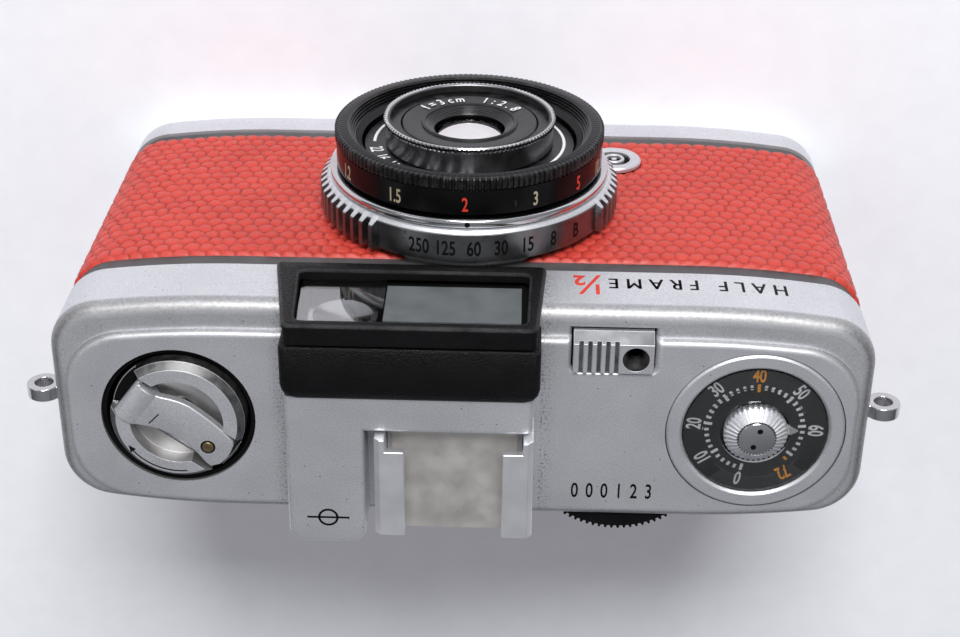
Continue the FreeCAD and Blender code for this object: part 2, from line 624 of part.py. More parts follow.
def counter_moving():
    """Counter shaft with its pointer, the serrated setting knob and its cap."""
    x, y = COUNTER_X, COUNTER_Y
    shaft = post(x, y, (55.0, 63.0), 1.0)
    disc = post(x, y, (61.45, 61.8), 4.1)
    needle = prism([V(x - 3.6, y - 1.2, 61.45), V(x - 5.7, y, 61.45), V(x - 3.6, y + 1.2, 61.45)],
                   V(0, 0, 0.35))
    knob = upright_gear(x, y, (61.9, 64.1), 36, 3.95, 4.3)
    knob = knob.common(turned(x, y, [(0, 61.9), (4.3, 61.9), (4.3, 63.2), (2.7, 64.1), (0, 64.1)]))
    knob = knob.cut(post(x, y, (60, 63.3), 1.02)).cut(post(x, y, (63.3, 65), 2.46))
    cap = turned(x, y, [(0, 63.35), (2.42, 63.35), (2.42, 63.9), (2.1, 64.2), (0, 64.2)])
    holes = [post(x, y + side * 1.3, (63.6, 65), 0.45) for side in (-1, 1)]
    return disc.fuse([needle, shaft]), Part.makeCompound([knob, cap.cut(holes)])


# ---------------------------------------------------------------- rewind side
def rewind_knob():
    """Knob with a hollow under the crank and a notch for its free end."""
    x, y = REWIND_X, REWIND_Y
    knob = turned(x, y, [(0, 58.0), (KNOB_R, 58.0), (KNOB_R, 62.9), (KNOB_R - 0.9, 63.9),
                         (KNOB_HOLLOW_R, 63.9), (KNOB_HOLLOW_R, 61.6), (0, 61.6)])
    return knob.cut([crank_space(), post(x, y, (50, 70), 2.52)])


def crank_space():
    """Room that the folded crank lies in, cut through the knob's rim."""
    hx, hy = CRANK_HINGE
    room = box(CRANK_ROOM, (-3.25, 3.25), (61.4, 70))
    return place_on_crank(room, hx, hy)


def place_on_crank(shape, x, y):
    """Turn a shape from the crank's own axes to where the crank lies."""
    angle = math.degrees(math.atan2(CRANK_DIRECTION[1], CRANK_DIRECTION[0]))
    copy = shape.copy()
    copy.rotate(V(0, 0, 0), UP, angle)
    copy.translate(V(x, y, 0))
    return copy


def rewind_shaft():
    """Shaft with the fork that grips the film cassette's spool."""
    x, y = REWIND_X, REWIND_Y
    shaft = post(x, y, (47.5, 61.5), 2.5)
    slot = box((x - 1.1, x + 1.1), (y - 5, y + 5), (40, 50.5))
    return shaft.cut(slot)


def rewind_crank():
    """Folding crank arm with its hinge barrel."""
    hx, hy = CRANK_HINGE
    z = CRANK_AXIS_Z
    arm = rounded_block((-0.4, 14.6), (-2.75, 2.75), (z - 0.1, z + 1.1), 2.2)
    barrel = Part.makeCylinder(1.15, 5.5, V(0, -2.75, z), TO_REAR)
    arm = arm.fuse(barrel)
    arm = arm.cut([Part.makeCylinder(0.5 + FIT, 12, V(0, -6, z), TO_REAR),
                   post(12.4, 0, (z - 2, z + 2), 0.8 + FIT)])
    return place_on_crank(arm, hx, hy)


def crank_pin():
    """Hinge pin of the crank, held in the knob's rim."""
    hx, hy = CRANK_HINGE
    return place_on_crank(Part.makeCylinder(0.5, 7.6, V(0, -3.8, CRANK_AXIS_Z), TO_REAR), hx, hy)


def crank_grip():
    """Small turning grip under the crank's free end, with its rivet."""
    hx, hy = CRANK_HINGE
    z = CRANK_AXIS_Z
    rivet = post(12.4, 0, (z - 0.5, z + 1.25), 0.8)
    grip = post(12.4, 0, (z - 1.2, z - 0.2), 1.9)
    return place_on_crank(rivet.fuse(grip), hx, hy)


# ---------------------------------------------------------------- back
def base_plate():
    """Silver tray that forms the camera's base."""
    tray = body_block((0, TRAY_TOP))
    tray = rounded_edges(tray, 1.2, lambda e: e.BoundBox.ZMax < 0.01)
    tray = tray.cut(body_block((0.9, 10), 0.95))
    return tray.cut([post(0, 0, (-1, 3), 5.0), post(LOCK_X, LOCK_Y, (-1, 3), LOCK_R + FIT)])


def back_panel():
    """Sheet that closes the film space, from seam to seam."""
    sheet = body_block((TRAY_TOP, CHAMBER_TOP - 0.2), SKIN)
    sheet = sheet.cut(body_block((0, 60), SKIN + BACK_WALL))
    return sheet.common(box((-60, 60), (SEAM_Y + 0.15, 20), (0, 60)))


def pressure_plate():
    """Plate that keeps the film flat on the gate."""
    return box((-14, 14), (FILM_PLANE_Y + 0.2, FILM_PLANE_Y + 0.95), (LENS_Z - 17, LENS_Z + 17))


def pressure_spring():
    """Thin leaf between the pressure plate and the back."""
    leaf = box((-9, 9), (FILM_PLANE_Y + 1.0, FILM_PLANE_Y + 1.2), (LENS_Z - 4, LENS_Z + 4))
    feet = [box((x - 2, x + 2), (FILM_PLANE_Y + 1.0, REAR_Y - SKIN - BACK_WALL - 0.02),
                (LENS_Z - 3, LENS_Z + 3)) for x in (-6, 6)]
    return leaf.fuse(feet)


def tripod_bush():
    """Threaded bush in the middle of the base."""
    bush = post(0, 0, (0, 1.0), 4.98).fuse(post(0, 0, (0.9, 5.2), 5.0))
    return bush.cut(post(0, 0, (-1, 5.0), 3.175))


def lock_parts():
    """Turning lock of the back: disc with its tongue inside, and folding handle."""
    disc = post(LOCK_X, LOCK_Y, (0.1, 1.3), LOCK_R)
    pocket = box((LOCK_X - 5.2, LOCK_X + 5.2), (LOCK_Y - 2.2, LOCK_Y + 2.2), (-1, 0.75))
    disc = disc.cut(pocket)
    hub = post(LOCK_X, LOCK_Y, (1.3, 2.0), 2.0)
    tongue = box((LOCK_X - 2.2, LOCK_X + 2.2), (LOCK_Y - 2.2, LOCK_Y + 5.0), (1.35, 1.95))
    pin_y = LOCK_Y - 2.2
    handle = rounded_block((LOCK_X - 4.6, LOCK_X + 4.6), (pin_y + 0.25, LOCK_Y + 1.8), (0.12, 0.6), 0.9)
    handle = handle.cut(rounded_block((LOCK_X - 3.4, LOCK_X + 3.4), (pin_y + 1.3, LOCK_Y + 0.9),
                                      (0, 1), 0.5))
    return disc.fuse([hub, tongue]), handle


# ---------------------------------------------------------------- lens and shutter
def shutter_housing():
    """Fixed tube that carries the rings and seats on the casting."""
    inner, outer = HOUSING_R
    return lens_turned([(inner, INDEX_RING[1]), (outer, INDEX_RING[1]), (outer, SPEED_RING[2]),
                        (outer + 0.7, SPEED_RING[2]), (outer + 0.7, FRONT_Y + SKIN),
                        (inner, FRONT_Y + SKIN)])


def speed_ring():
    """Shutter speed ring: coarse grip teeth but for the band that bears the numbers."""
    tip, front, rear = SPEED_RING

    def on_band(degrees):
        signed = (degrees + 180) % 360 - 180
        return -36.5 <= signed <= 61.5

    corners = toothed_points(72, SPEED_BAND_R, tip, 0.62, 0.34, on_band)
    points = [V(-r * math.sin(a), front, LENS_Z + r * math.cos(a)) for r, a in corners]
    ring = prism(points, V(0, rear - front, 0))
    bevel = lens_turned([(0, front), (tip - 1.6, front), (tip, front + 1.1), (tip, rear), (0, rear)])
    return ring.common(bevel).cut(lens_disc(HOUSING_R[1] + FIT, front - 1, rear + 1))


def index_ring():
    """Fixed silver ring with the index mark."""
    outer, front, rear = INDEX_RING
    return lens_turned([(HOUSING_R[1] + 0.01, front + 0.0), (outer - 0.4, front), (outer, front + 0.4),
                        (outer, rear), (HOUSING_R[1] + 0.01, rear)])


def focus_ring():
    """Black focusing ring with a stepped bore."""
    outer, front, rear = FOCUS_RING
    return lens_turned([(16.4, front), (outer, front), (outer, rear), (15.0, rear), (15.0, -25.1),
                        (15.6, -26.0), (16.4, -26.3)])


def lens_barrel():
    """Sliding barrel: scale face, lens cell and the tube round the diaphragm."""
    tube_inner = 13.4
    return lens_turned([
        (5.5, -26.3), (9.5, -26.3), (9.5, SCALE_FACE_Y), (BARREL_R, SCALE_FACE_Y),
        (BARREL_R, BARREL_REAR_Y), (tube_inner, BARREL_REAR_Y), (tube_inner, -23.2),
        (6.3, -23.2), (5.5, -23.6)])


def rear_cell():
    """Rear lens cell and the plate that closes the diaphragm space."""
    return lens_turned([(5.5, -20.4), (13.35, -20.4), (13.35, -19.6), (6.4, -19.6), (6.4, -14.0),
                        (4.65, -14.0), (4.65, -17.4), (5.5, -17.8)])


def name_ring():
    """Retaining ring in front of the glass."""
    return lens_turned([(6.7, -27.4), (9.45, -27.4), (9.45, -26.32), (5.6, -26.32), (5.6, -26.5)])


def front_element():
    """Front glass, curved outwards."""
    glass = lens_disc(FRONT_GLASS_R, -26.5, -23.8)
    return glass.common(lens_ball(11.5, -25.9 + 11.5))


def rear_element():
    """Rear glass."""
    glass = lens_disc(REAR_GLASS_R, -17.2, -13.5)
    return glass.common(lens_ball(12.0, -14.4 - 12.0))


def aperture_ring():
    """Aperture ring with the filter thread in its mouth."""
    outer, front, rear = APERTURE_RING
    return lens_turned([(11.25, front), (outer, front), (outer, rear), (9.5 + FIT, rear),
                        (9.5 + FIT, -27.3), (11.25, -27.3)])


def crescent(inner, outer, sweep, front, thickness, pivot_r):
    """Thin curved blade that starts at its pivot above the axis."""
    blade = lens_ring(outer, inner, front, front + thickness)
    half = sweep / 2
    reach = 40.0
    side_a = V(0, front - 1, LENS_Z)
    wedge = [side_a, side_a + V(0, 0, reach),
             side_a + V(reach * math.sin(math.radians(half)), 0, reach * math.cos(math.radians(half))),
             side_a + V(reach * math.sin(math.radians(sweep)), 0, reach * math.cos(math.radians(sweep)))]
    blade = blade.common(prism(wedge, V(0, 5, 0)))
    eye = Part.makeCylinder((outer - inner) / 2, thickness, V(0, front, LENS_Z + pivot_r), TO_REAR)
    hole = Part.makeCylinder(0.5, 3, V(0, front - 1, LENS_Z + pivot_r), TO_REAR)
    return blade.fuse(eye).cut(hole)


def blade_set(count, inner, outer, sweep, first_front, thickness, step):
    """Evenly spaced crescents, each in its own thin layer along the axis."""
    blades = []
    for index in range(count):
        blade = crescent(inner, outer, sweep, first_front + index * step, thickness,
                         (inner + outer) / 2)
        blade.rotate(V(0, 0, LENS_Z), TO_REAR, 360 * index / count)
        blades.append(blade)
    return blades


# ---------------------------------------------------------------- all nodes
def all_nodes():
    """Every node's name and shape."""
    nodes = {
        "body_casting": body_casting(),
        "front_leather": leather_skin(True),
        "sync_socket": sync_socket(),
        "top_cover": top_cover(),
        "viewfinder_hood": viewfinder_hood(),
        "viewfinder_housing": viewfinder_housing(),
        "strap_lugs": strap_lugs(),
        "rewind_well": rewind_well(),
        "button_guide": button_guide(),
        "button_spring": button_spring(),
        "shutter_button": shutter_button(),
        "wind_wheel": wind_wheel(),
        "winding_shaft": winding_shaft(),
        "film_sprocket": film_sprocket(),
        "idler_gear": idler_gear(),
        "take_up_spool": take_up_spool(),
        "take_up_gear": take_up_gear(),
        "rewind_knob": rewind_knob(),
        "rewind_shaft": rewind_shaft(),
        "rewind_crank": rewind_crank(),
        "crank_pin": crank_pin(),
        "crank_grip": crank_grip(),
        "base_plate": base_plate(),
        "back_panel": back_panel(),
        "back_leather": leather_skin(False),
        "pressure_plate": pressure_plate(),
        "pressure_spring": pressure_spring(),
        "tripod_bush": tripod_bush(),
        "shutter_housing": shutter_housing(),
        "speed_ring": speed_ring(),
        "index_ring": index_ring(),
        "focus_ring": focus_ring(),
        "lens_barrel": lens_barrel(),
        "rear_cell": rear_cell(),
        "name_ring": name_ring(),
        "front_element": front_element(),
        "rear_element": rear_element(),
        "aperture_ring": aperture_ring(),
    }
    clear, frosted = viewfinder_windows()
    nodes.update(viewfinder_window=clear, frame_window=frosted)
    objective, mirrors, eyepiece = viewfinder_optics()
    nodes.update(viewfinder_objective=objective, viewfinder_mirrors=mirrors, eyepiece=eyepiece)
    floor, rails = accessory_shoe()
    nodes.update(shoe_floor=floor, shoe_rails=rails)
    bezel, dial, window = counter_parts()
    nodes.update(counter_bezel=bezel, counter_dial=dial, counter_window=window)
    pointer, knob = counter_moving()
    nodes.update(counter_pointer=pointer, counter_knob=knob)
    disc, handle = lock_parts()
    nodes.update(lock_disc=disc, lock_handle=handle)
    for index, blade in enumerate(blade_set(5, 5.9, 8.1, 100, -22.6, 0.12, 0.3), 1):
        nodes["iris_blade_%d" % index] = blade
    for index, blade in enumerate(blade_set(3, 5.9, 9.5, 130, -11.6, 0.15, 0.5), 1):
        nodes["shutter_blade_%d" % index] = blade
    return nodes


os.makedirs("parts", exist_ok=True)
for name, shape in all_nodes().items():
    if not shape.isValid():
        print("invalid:", name)
    shape.exportStep("parts/%s.step" % name)
    print(name, len(shape.Solids), round(shape.Volume, 2))
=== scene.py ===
"""Looks of the half frame camera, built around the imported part.

Lengths are in metres; mm() turns millimetres into them.
"""
import json
import math

import bmesh
import bpy
import numpy as np
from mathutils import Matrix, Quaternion, Vector


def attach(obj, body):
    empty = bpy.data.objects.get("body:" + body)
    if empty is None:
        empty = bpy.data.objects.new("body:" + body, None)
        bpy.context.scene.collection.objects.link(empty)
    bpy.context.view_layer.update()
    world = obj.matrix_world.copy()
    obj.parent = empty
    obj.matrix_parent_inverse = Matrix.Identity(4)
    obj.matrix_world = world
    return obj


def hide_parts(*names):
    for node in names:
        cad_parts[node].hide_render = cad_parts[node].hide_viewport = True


MM = 0.001

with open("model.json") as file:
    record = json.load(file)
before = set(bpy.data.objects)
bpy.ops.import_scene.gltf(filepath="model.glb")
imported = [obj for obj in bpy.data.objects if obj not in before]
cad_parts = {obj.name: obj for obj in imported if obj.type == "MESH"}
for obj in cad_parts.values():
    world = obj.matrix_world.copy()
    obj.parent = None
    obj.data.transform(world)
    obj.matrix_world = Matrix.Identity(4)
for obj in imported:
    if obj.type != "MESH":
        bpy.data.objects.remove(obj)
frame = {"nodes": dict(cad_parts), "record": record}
NODES = frame["nodes"]
BODY_OF = {node: body for body, nodes in frame["record"]["behaviour"]["bodies"].items() for node in nodes}
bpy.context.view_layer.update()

# ---------------------------------------------------------------- places on the camera, in millimetres
LENS_Z = 31.2
COUNTER = (-38.9, 2.8)
REWIND = (37.4, 2.5)
RELEASE_HOLE = (-22.6, -8.15)
SOCKET = (-21.3, 15.4)
SHOULDER_LEVELS = (59.4, 62.4)
HUMP_BLOCK = ((6.3, 1.5), (16.75, 17.0))


def mm(*values):
    """A point given in millimetres."""
    return Vector(values) * MM


# ---------------------------------------------------------------- materials
class Finish:
    """A Principled material under construction; its textures use the object's own coordinates."""

    def __init__(self, name, **sockets):
        self.material = bpy.data.materials.new(name)
        self.material.use_nodes = True
        self.tree = self.material.node_tree
        self.shader = self.tree.nodes["Principled BSDF"]
        for socket, value in sockets.items():
            self.shader.inputs[socket.replace("_", " ")].default_value = value
        self.place = self.tree.nodes.new("ShaderNodeTexCoord").outputs["Object"]

    def put(self, kind, inputs=(), **settings):
        """Adds a node; each input is a value, or a socket to link."""
        node = self.tree.nodes.new(kind)
        for key, value in settings.items():
            setattr(node, key, value)
        for key, value in dict(inputs).items():
            if isinstance(value, bpy.types.NodeSocket):
                self.tree.links.new(value, node.inputs[key])
            else:
                node.inputs[key].default_value = value
        return node

    def noise(self, size, detail=3.0, roughness=0.55):
        """Noise whose blobs are about size millimetres across."""
        node = self.put("ShaderNodeTexNoise", {"Vector": self.place, "Scale": 1 / (size * MM)})
        node.inputs["Detail"].default_value = detail
        node.inputs["Roughness"].default_value = roughness
        return node.outputs["Fac"]

    def ramp(self, source, *stops):
        """Colours by value: each stop is (position, grey or colour)."""
        node = self.put("ShaderNodeValToRGB", {"Fac": source})
        band = node.color_ramp
        while len(band.elements) < len(stops):
            band.elements.new(0.5)
        for element, (position, colour) in zip(band.elements, stops):
            element.position = position
            rgb = (colour,) * 3 if isinstance(colour, (int, float)) else colour
            element.color = (*rgb, 1)
        return node.outputs["Color"]

    def mix(self, share, first, second):
        """Blend of two colours; share is how much of the second one shows."""
        node = self.put("ShaderNodeMix", data_type="RGBA")
        for index, value in ((0, share), (6, first), (7, second)):
            if isinstance(value, bpy.types.NodeSocket):
                self.tree.links.new(value, node.inputs[index])
            else:
                node.inputs[index].default_value = value if index == 0 else (*value, 1)
        return node.outputs[2]

    def multiply(self, first, second):
        node = self.put("ShaderNodeMix", {0: 1.0}, data_type="RGBA", blend_type="MULTIPLY")
        self.tree.links.new(first, node.inputs[6])
        self.tree.links.new(second, node.inputs[7])
        return node.outputs[2]

    def specks(self, spacing, size, share):
        """A mask that is 1 in small scattered specks.

        Spacing and size are in millimetres, share is how many cells have a speck.
        """
        cells = self.put("ShaderNodeTexVoronoi", {"Vector": self.place, "Scale": 1 / (spacing * MM)})
        near = self.put("ShaderNodeMapRange", {"Value": cells.outputs["Distance"], "From Min": size / spacing,
                                               "From Max": 0.6 * size / spacing}).outputs["Result"]
        colour = cells.outputs["Color"]
        chosen = self.put("ShaderNodeMath", {0: colour, 1: share}, operation="LESS_THAN").outputs[0]
        return self.put("ShaderNodeMath", {0: near, 1: chosen}, operation="MULTIPLY").outputs[0]

    def beside_box(self, centre, half, reach):
        """A mask that is 1 close beside an upright block and fades out over a reach, all in millimetres."""
        value = self.place
        steps = (("SUBTRACT", mm(*centre, 0)), ("ABSOLUTE", None), ("SUBTRACT", mm(*half, 1000)),
                 ("MAXIMUM", mm(0, 0, 0)))
        for operation, other in steps:
            node = self.put("ShaderNodeVectorMath", {0: value}, operation=operation)
            if other is not None:
                node.inputs[1].default_value = other
            value = node.outputs["Vector"]
        away = self.put("ShaderNodeVectorMath", {0: value}, operation="LENGTH").outputs["Value"]
        share = self.put("ShaderNodeMapRange", {"Value": away, "From Max": reach * MM}).outputs["Result"]
        return self.ramp(share, (0.0, 0.0), (0.02, 1.0), (1.0, 0.0))

    def colour(self, source):
        self.tree.links.new(source, self.shader.inputs["Base Color"])

    def rough(self, source, low, high):
        """Roughness that follows a texture between two values."""
        spread = self.put("ShaderNodeMapRange", {"Value": source, "From Min": 0.3, "From Max": 0.7,
                                                 "To Min": low, "To Max": high}).outputs["Result"]
        self.tree.links.new(spread, self.shader.inputs["Roughness"])

    def bump(self, source, height):
        """Relief from a texture: height in millimetres."""
        node = self.put("ShaderNodeBump", {"Height": source, "Distance": height * MM, "Strength": 1.0})
        self.tree.links.new(node.outputs["Normal"], self.shader.inputs["Normal"])


def plain_metal(name, dark, light, low, high, grain, relief, patch=6.0, metallic=1.0):
    """A bare metal with a fine grain and slow colour changes."""
    finish = Finish(name, Metallic=metallic)
    slow = finish.noise(patch, 4)
    fine = finish.noise(grain, 2)
    finish.colour(finish.ramp(slow, (0.3, dark), (0.7, light)))
    finish.rough(slow, low, high)
    finish.bump(fine, relief)
    return finish.material


def painted(name, dark, light, low, high, grain, relief, specular=0.3):
    """Paint or enamel with a grain."""
    finish = Finish(name, Specular_IOR_Level=specular)
    fine = finish.noise(grain, 3)
    slow = finish.noise(5.0, 4)
    finish.colour(finish.ramp(slow, (0.3, dark), (0.7, light)))
    finish.rough(slow, low, high)
    finish.bump(fine, relief)
    return finish.material


def make_satin_chrome(name, soiled, shoulder=False):
    """Satin plating with a fine sparkle and specks of dirt.

    A shoulder has painted shade, in mottled patches, on its two rounded edges, which dims their highlights,
    and crumbs beside the raised block behind it.
    """
    finish = Finish(name, Metallic=0.85)
    slow = finish.noise(9.0, 4)
    base = finish.ramp(slow, (0.3, (0.70, 0.705, 0.735)), (0.7, (0.76, 0.765, 0.795)))
    sparkle = finish.ramp(finish.noise(0.2, 3, 0.7), (0.40, 0.68), (0.62, 1.0))
    base = finish.mix(0.6, base, finish.multiply(base, sparkle))
    if shoulder:
        level = finish.put("ShaderNodeSeparateXYZ", {"Vector": finish.place}).outputs["Z"]
        low, high = (shoulder_level * MM for shoulder_level in SHOULDER_LEVELS)
        across = finish.put("ShaderNodeMapRange", {"Value": level, "From Min": low,
                                                   "From Max": high}).outputs["Result"]
        # painted shade: the shoulder's two rounded edges are darkened, in mottled patches, to dim their
        # highlights
        edges = finish.ramp(across, (0.0, 0.0), (0.16, 0.75), (0.55, 0.9), (0.63, 0.15), (0.68, 0.2),
                            (0.76, 0.85), (0.93, 0.6), (1.0, 0.0))
        patches = finish.ramp(finish.noise(0.45, 4, 0.75), (0.3, 0.55), (0.7, 1.0))
        base = finish.mix(finish.multiply(edges, patches), base, (0.20, 0.195, 0.19))
        crumbs = finish.ramp(finish.noise(0.3, 3, 0.7), (0.52, 0.0), (0.62, 0.8))
        crumbs = finish.multiply(finish.beside_box(*HUMP_BLOCK, 2.2), crumbs)
        base = finish.mix(crumbs, base, (0.09, 0.08, 0.07))
    grime = finish.specks(1.2, 0.11, soiled)
    finish.colour(finish.mix(grime, base, (0.10, 0.085, 0.07)))
    finish.rough(slow, 0.47, 0.54)
    finish.bump(finish.noise(0.16, 2), 0.012)
    return finish.material


def make_leather():
    """Coral red leather with a fine skin grain, painted darker in the grooves between its scales as shade."""
    finish = Finish("red_leather", Specular_IOR_Level=0.35)
    slow = finish.noise(6.0, 4)
    skin = finish.ramp(slow, (0.3, (0.47, 0.040, 0.027)), (0.7, (0.55, 0.053, 0.036)))
    depth = finish.put("ShaderNodeAttribute", attribute_name="groove").outputs["Fac"]
    # painted shade: the colour darkens towards the bottom of each groove
    dark = finish.ramp(slow, (0.3, (0.20, 0.012, 0.008)), (0.7, (0.28, 0.018, 0.012)))
    finish.colour(finish.mix(depth, skin, dark))
    finish.rough(finish.noise(1.5, 3), 0.34, 0.52)
    finish.bump(finish.noise(0.32, 4), 0.05)
    return finish.material


def make_glass(name, tint, rough=0.0, ior=1.5, mirror=0.0):
    """Clear or coated glass, with a few faint smears; mirror is the share that its coating reflects."""
    finish = Finish(name, Transmission_Weight=1.0, IOR=ior, Metallic=mirror)
    slow = finish.noise(7.0, 3)
    light = tuple(min(1.0, c * 1.03) for c in tint)
    finish.colour(finish.ramp(slow, (0.3, tint), (0.7, light)))
    finish.rough(slow, rough, rough + 0.02)
    return finish.material


def make_hood_black(name, dark, light, dusty):
    """Crackle enamel: glossy black with a fine leathery grain and faint dust."""
    finish = Finish(name, Specular_IOR_Level=0.15)
    slow = finish.noise(4.0, 4)
    dust = finish.specks(1.1, 0.06, dusty)
    base = finish.ramp(slow, (0.3, dark), (0.7, light))
    finish.colour(finish.mix(dust, base, (0.06, 0.055, 0.05)))
    finish.rough(finish.noise(0.3, 3), 0.3, 0.55)
    finish.bump(finish.noise(0.28, 3), 0.14)
    return finish.material


def make_worn_black():
    """Black paint rubbed through to grey on an edge."""
    finish = Finish("worn_black", Metallic=0.3)
    wear = finish.noise(1.2, 5, 0.7)
    finish.colour(finish.ramp(wear, (0.5, (0.006, 0.006, 0.0065)), (0.75, (0.05, 0.05, 0.052))))
    finish.rough(wear, 0.25, 0.4)
    finish.bump(finish.noise(0.3, 3), 0.008)
    return finish.material


# Bare metals: dark and light colour, lowest and highest roughness, grain and relief in millimetres,
# then the width of the slow patches in millimetres and how metallic the surface is.
METALS = {
    "dark_chrome": (0.12, 0.24, 0.4, 0.55, 0.2, 0.012, 1.5),
    "worn_chrome": ((0.46, 0.45, 0.44), 0.60, 0.45, 0.6, 0.2, 0.006, 2.5),
    "bright_chrome": ((0.52, 0.52, 0.53), (0.62, 0.62, 0.63), 0.10, 0.2, 0.3, 0.001),
    "ring_chrome": ((0.24, 0.24, 0.25), (0.33, 0.33, 0.345), 0.3, 0.4, 0.25, 0.002, 2.0),
    "steel": ((0.42, 0.42, 0.43), (0.56, 0.56, 0.57), 0.24, 0.36, 0.2, 0.004),
    "blade_steel": ((0.05, 0.05, 0.055), (0.08, 0.08, 0.085), 0.35, 0.5, 0.3, 0.003),
    "shoe_nickel": ((0.56, 0.535, 0.50), (0.72, 0.695, 0.66), 0.42, 0.58, 0.2, 0.004, 3.5, 0.8),
    "rail_chrome": ((0.84, 0.845, 0.87), (0.90, 0.905, 0.93), 0.38, 0.48, 0.25, 0.004, 4.0, 0.9),
    "brass": ((0.20, 0.15, 0.08), (0.34, 0.27, 0.15), 0.3, 0.5, 0.25, 0.01, 0.8),
    "mirror_glass": ((0.16, 0.16, 0.17), (0.22, 0.22, 0.23), 0.04, 0.08, 2.0, 0.0002),
    # the speed ring's side gets a darker chrome, a painted shade for the dark it reflects
    "speed_side_shaded": ((0.17, 0.17, 0.175), (0.23, 0.23, 0.235), 0.26, 0.36, 0.25, 0.003, 2.0),
}
# Paints and enamels: dark and light colour, lowest and highest roughness, grain and relief in
# millimetres, then how strongly the surface mirrors.
PAINTS = {
    # the next grey is for the step faces inside the lens rings: a lighter grey, a painted highlight that
    # shows them as thin light lines
    "ridge_highlight_grey": ((0.045, 0.045, 0.047), (0.085, 0.085, 0.088), 0.3, 0.4, 0.3, 0.004),
    # the wind wheel's black is darker still: painted shade for the shadow of the cover's edge over it
    "wheel_black_shaded": ((0.0025, 0.0025, 0.003), (0.005, 0.005, 0.0055), 0.5, 0.6, 0.25, 0.006, 0.12),
    "casting_grey": ((0.045, 0.045, 0.047), (0.085, 0.085, 0.088), 0.4, 0.55, 0.2, 0.01),
    "black_paint": ((0.003, 0.003, 0.0034), (0.007, 0.007, 0.0075), 0.3, 0.42, 0.25, 0.006),
    "ring_black": ((0.0022, 0.0022, 0.0024), (0.0045, 0.0045, 0.005), 0.14, 0.26, 0.3, 0.004, 0.13),
    "name_black": ((0.010, 0.0105, 0.012), (0.018, 0.0185, 0.020), 0.25, 0.36, 0.25, 0.004),
    "pointer_grey": ((0.42, 0.43, 0.44), (0.55, 0.56, 0.57), 0.4, 0.5, 0.2, 0.004),
    "black_metal": ((0.008, 0.008, 0.009), (0.014, 0.014, 0.015), 0.5, 0.65, 0.15, 0.008),
    "deep_black": (0.002, 0.004, 0.7, 0.8, 0.3, 0.004, 0.1),
    "dial_black": ((0.006, 0.006, 0.0065), (0.012, 0.012, 0.013), 0.5, 0.65, 0.12, 0.01),
    "black_ink": (0.002, 0.005, 0.4, 0.55, 0.2, 0.004, 0.1),
    "white_ink": ((0.66, 0.67, 0.68), 0.80, 0.4, 0.55, 0.2, 0.004),
    "cream_ink": ((0.26, 0.23, 0.15), (0.42, 0.38, 0.26), 0.4, 0.55, 0.2, 0.004),
    "red_ink": ((0.52, 0.030, 0.015), (0.68, 0.050, 0.025), 0.4, 0.55, 0.2, 0.004),
    "orange_ink": ((0.72, 0.27, 0.02), (0.86, 0.36, 0.03), 0.4, 0.55, 0.2, 0.004),
    "frosted_glass": ((0.075, 0.085, 0.09), (0.12, 0.13, 0.135), 0.3, 0.4, 0.4, 0.002),
}
MATERIALS = {
    "satin_chrome": make_satin_chrome("satin_chrome", 0.2),
    "cover_chrome": make_satin_chrome("cover_chrome", 0.45, shoulder=True),
    "worn_black": make_worn_black(),
    "hood_black": make_hood_black("hood_black", (0.002, 0.002, 0.0023), (0.0045, 0.0045, 0.005), 0.22),
    "hood_edge": make_hood_black("hood_edge", (0.010, 0.010, 0.011), (0.034, 0.034, 0.035), 0.6),
    "red_leather": make_leather(),
    "clear_glass": make_glass("clear_glass", (0.95, 0.96, 0.96)),
    "window_glass": make_glass("window_glass", (0.85, 0.87, 0.88), ior=2.3),
    "coated_glass": make_glass("coated_glass", (0.95, 0.93, 0.93), ior=1.9, mirror=0.8),
    "objective_glass": make_glass("objective_glass", (0.74, 0.72, 0.72), rough=0.1, ior=1.7, mirror=0.75),
}
MATERIALS.update({name: plain_metal(name, *look) for name, look in METALS.items()})
MATERIALS.update({name: painted(name, *look) for name, look in PAINTS.items()})

# Every CAD node gets the material of its slot in the record.
SLOT_OF = {part["node"]: part["material_slot"] for part in frame["record"]["subparts"]}
for node_name, node in NODES.items():
    node.data.materials.clear()
    node.data.materials.append(MATERIALS[SLOT_OF[node_name]])


# ---------------------------------------------------------------- mesh helpers
class Shape:
    """A mesh under construction, in millimetres. Each face has the index of its material."""

    def __init__(self):
        self.points = []
        self.faces = []
        self.marks = []

    def add(self, points, faces):
        base = len(self.points)
        self.points.extend(tuple(p) for p in points)
        self.faces.extend(tuple(base + i for i in face) for face in faces)
        self.marks.extend([0] * len(faces))


def upright_axis(x, y):
    """Round an upright axis: angle 0 is +X and grows towards +Y."""
    return lambda radius, angle, level: (x + radius * math.cos(angle), y + radius * math.sin(angle), level)


def lens_axis(radius, angle, level):
    """Round the lens: angle 0 is the top and grows towards -X, level is y."""
    return (-radius * math.sin(angle), level, LENS_Z + radius * math.cos(angle))


def even_turns(count):
    return [2 * math.pi * step / count for step in range(count)]


def lathe(shape, place, profile, turns, shift=None):
    """Turns a closed profile of (radius, level, material) points; shift(index, angle) moves a point."""
    rings = len(profile)
    base = len(shape.points)
    for angle in turns:
        for index, (radius, level, _) in enumerate(profile):
            outward, along = shift(index, angle) if shift else (0.0, 0.0)
            shape.points.append(place(radius + outward, angle, level + along))
    for step in range(len(turns)):
        here, there = base + step * rings, base + (step + 1) % len(turns) * rings
        for index, (_, _, mark) in enumerate(profile):
            after = (index + 1) % rings
            shape.faces.append((here + index, here + after, there + after, there + index))
            shape.marks.append(mark)


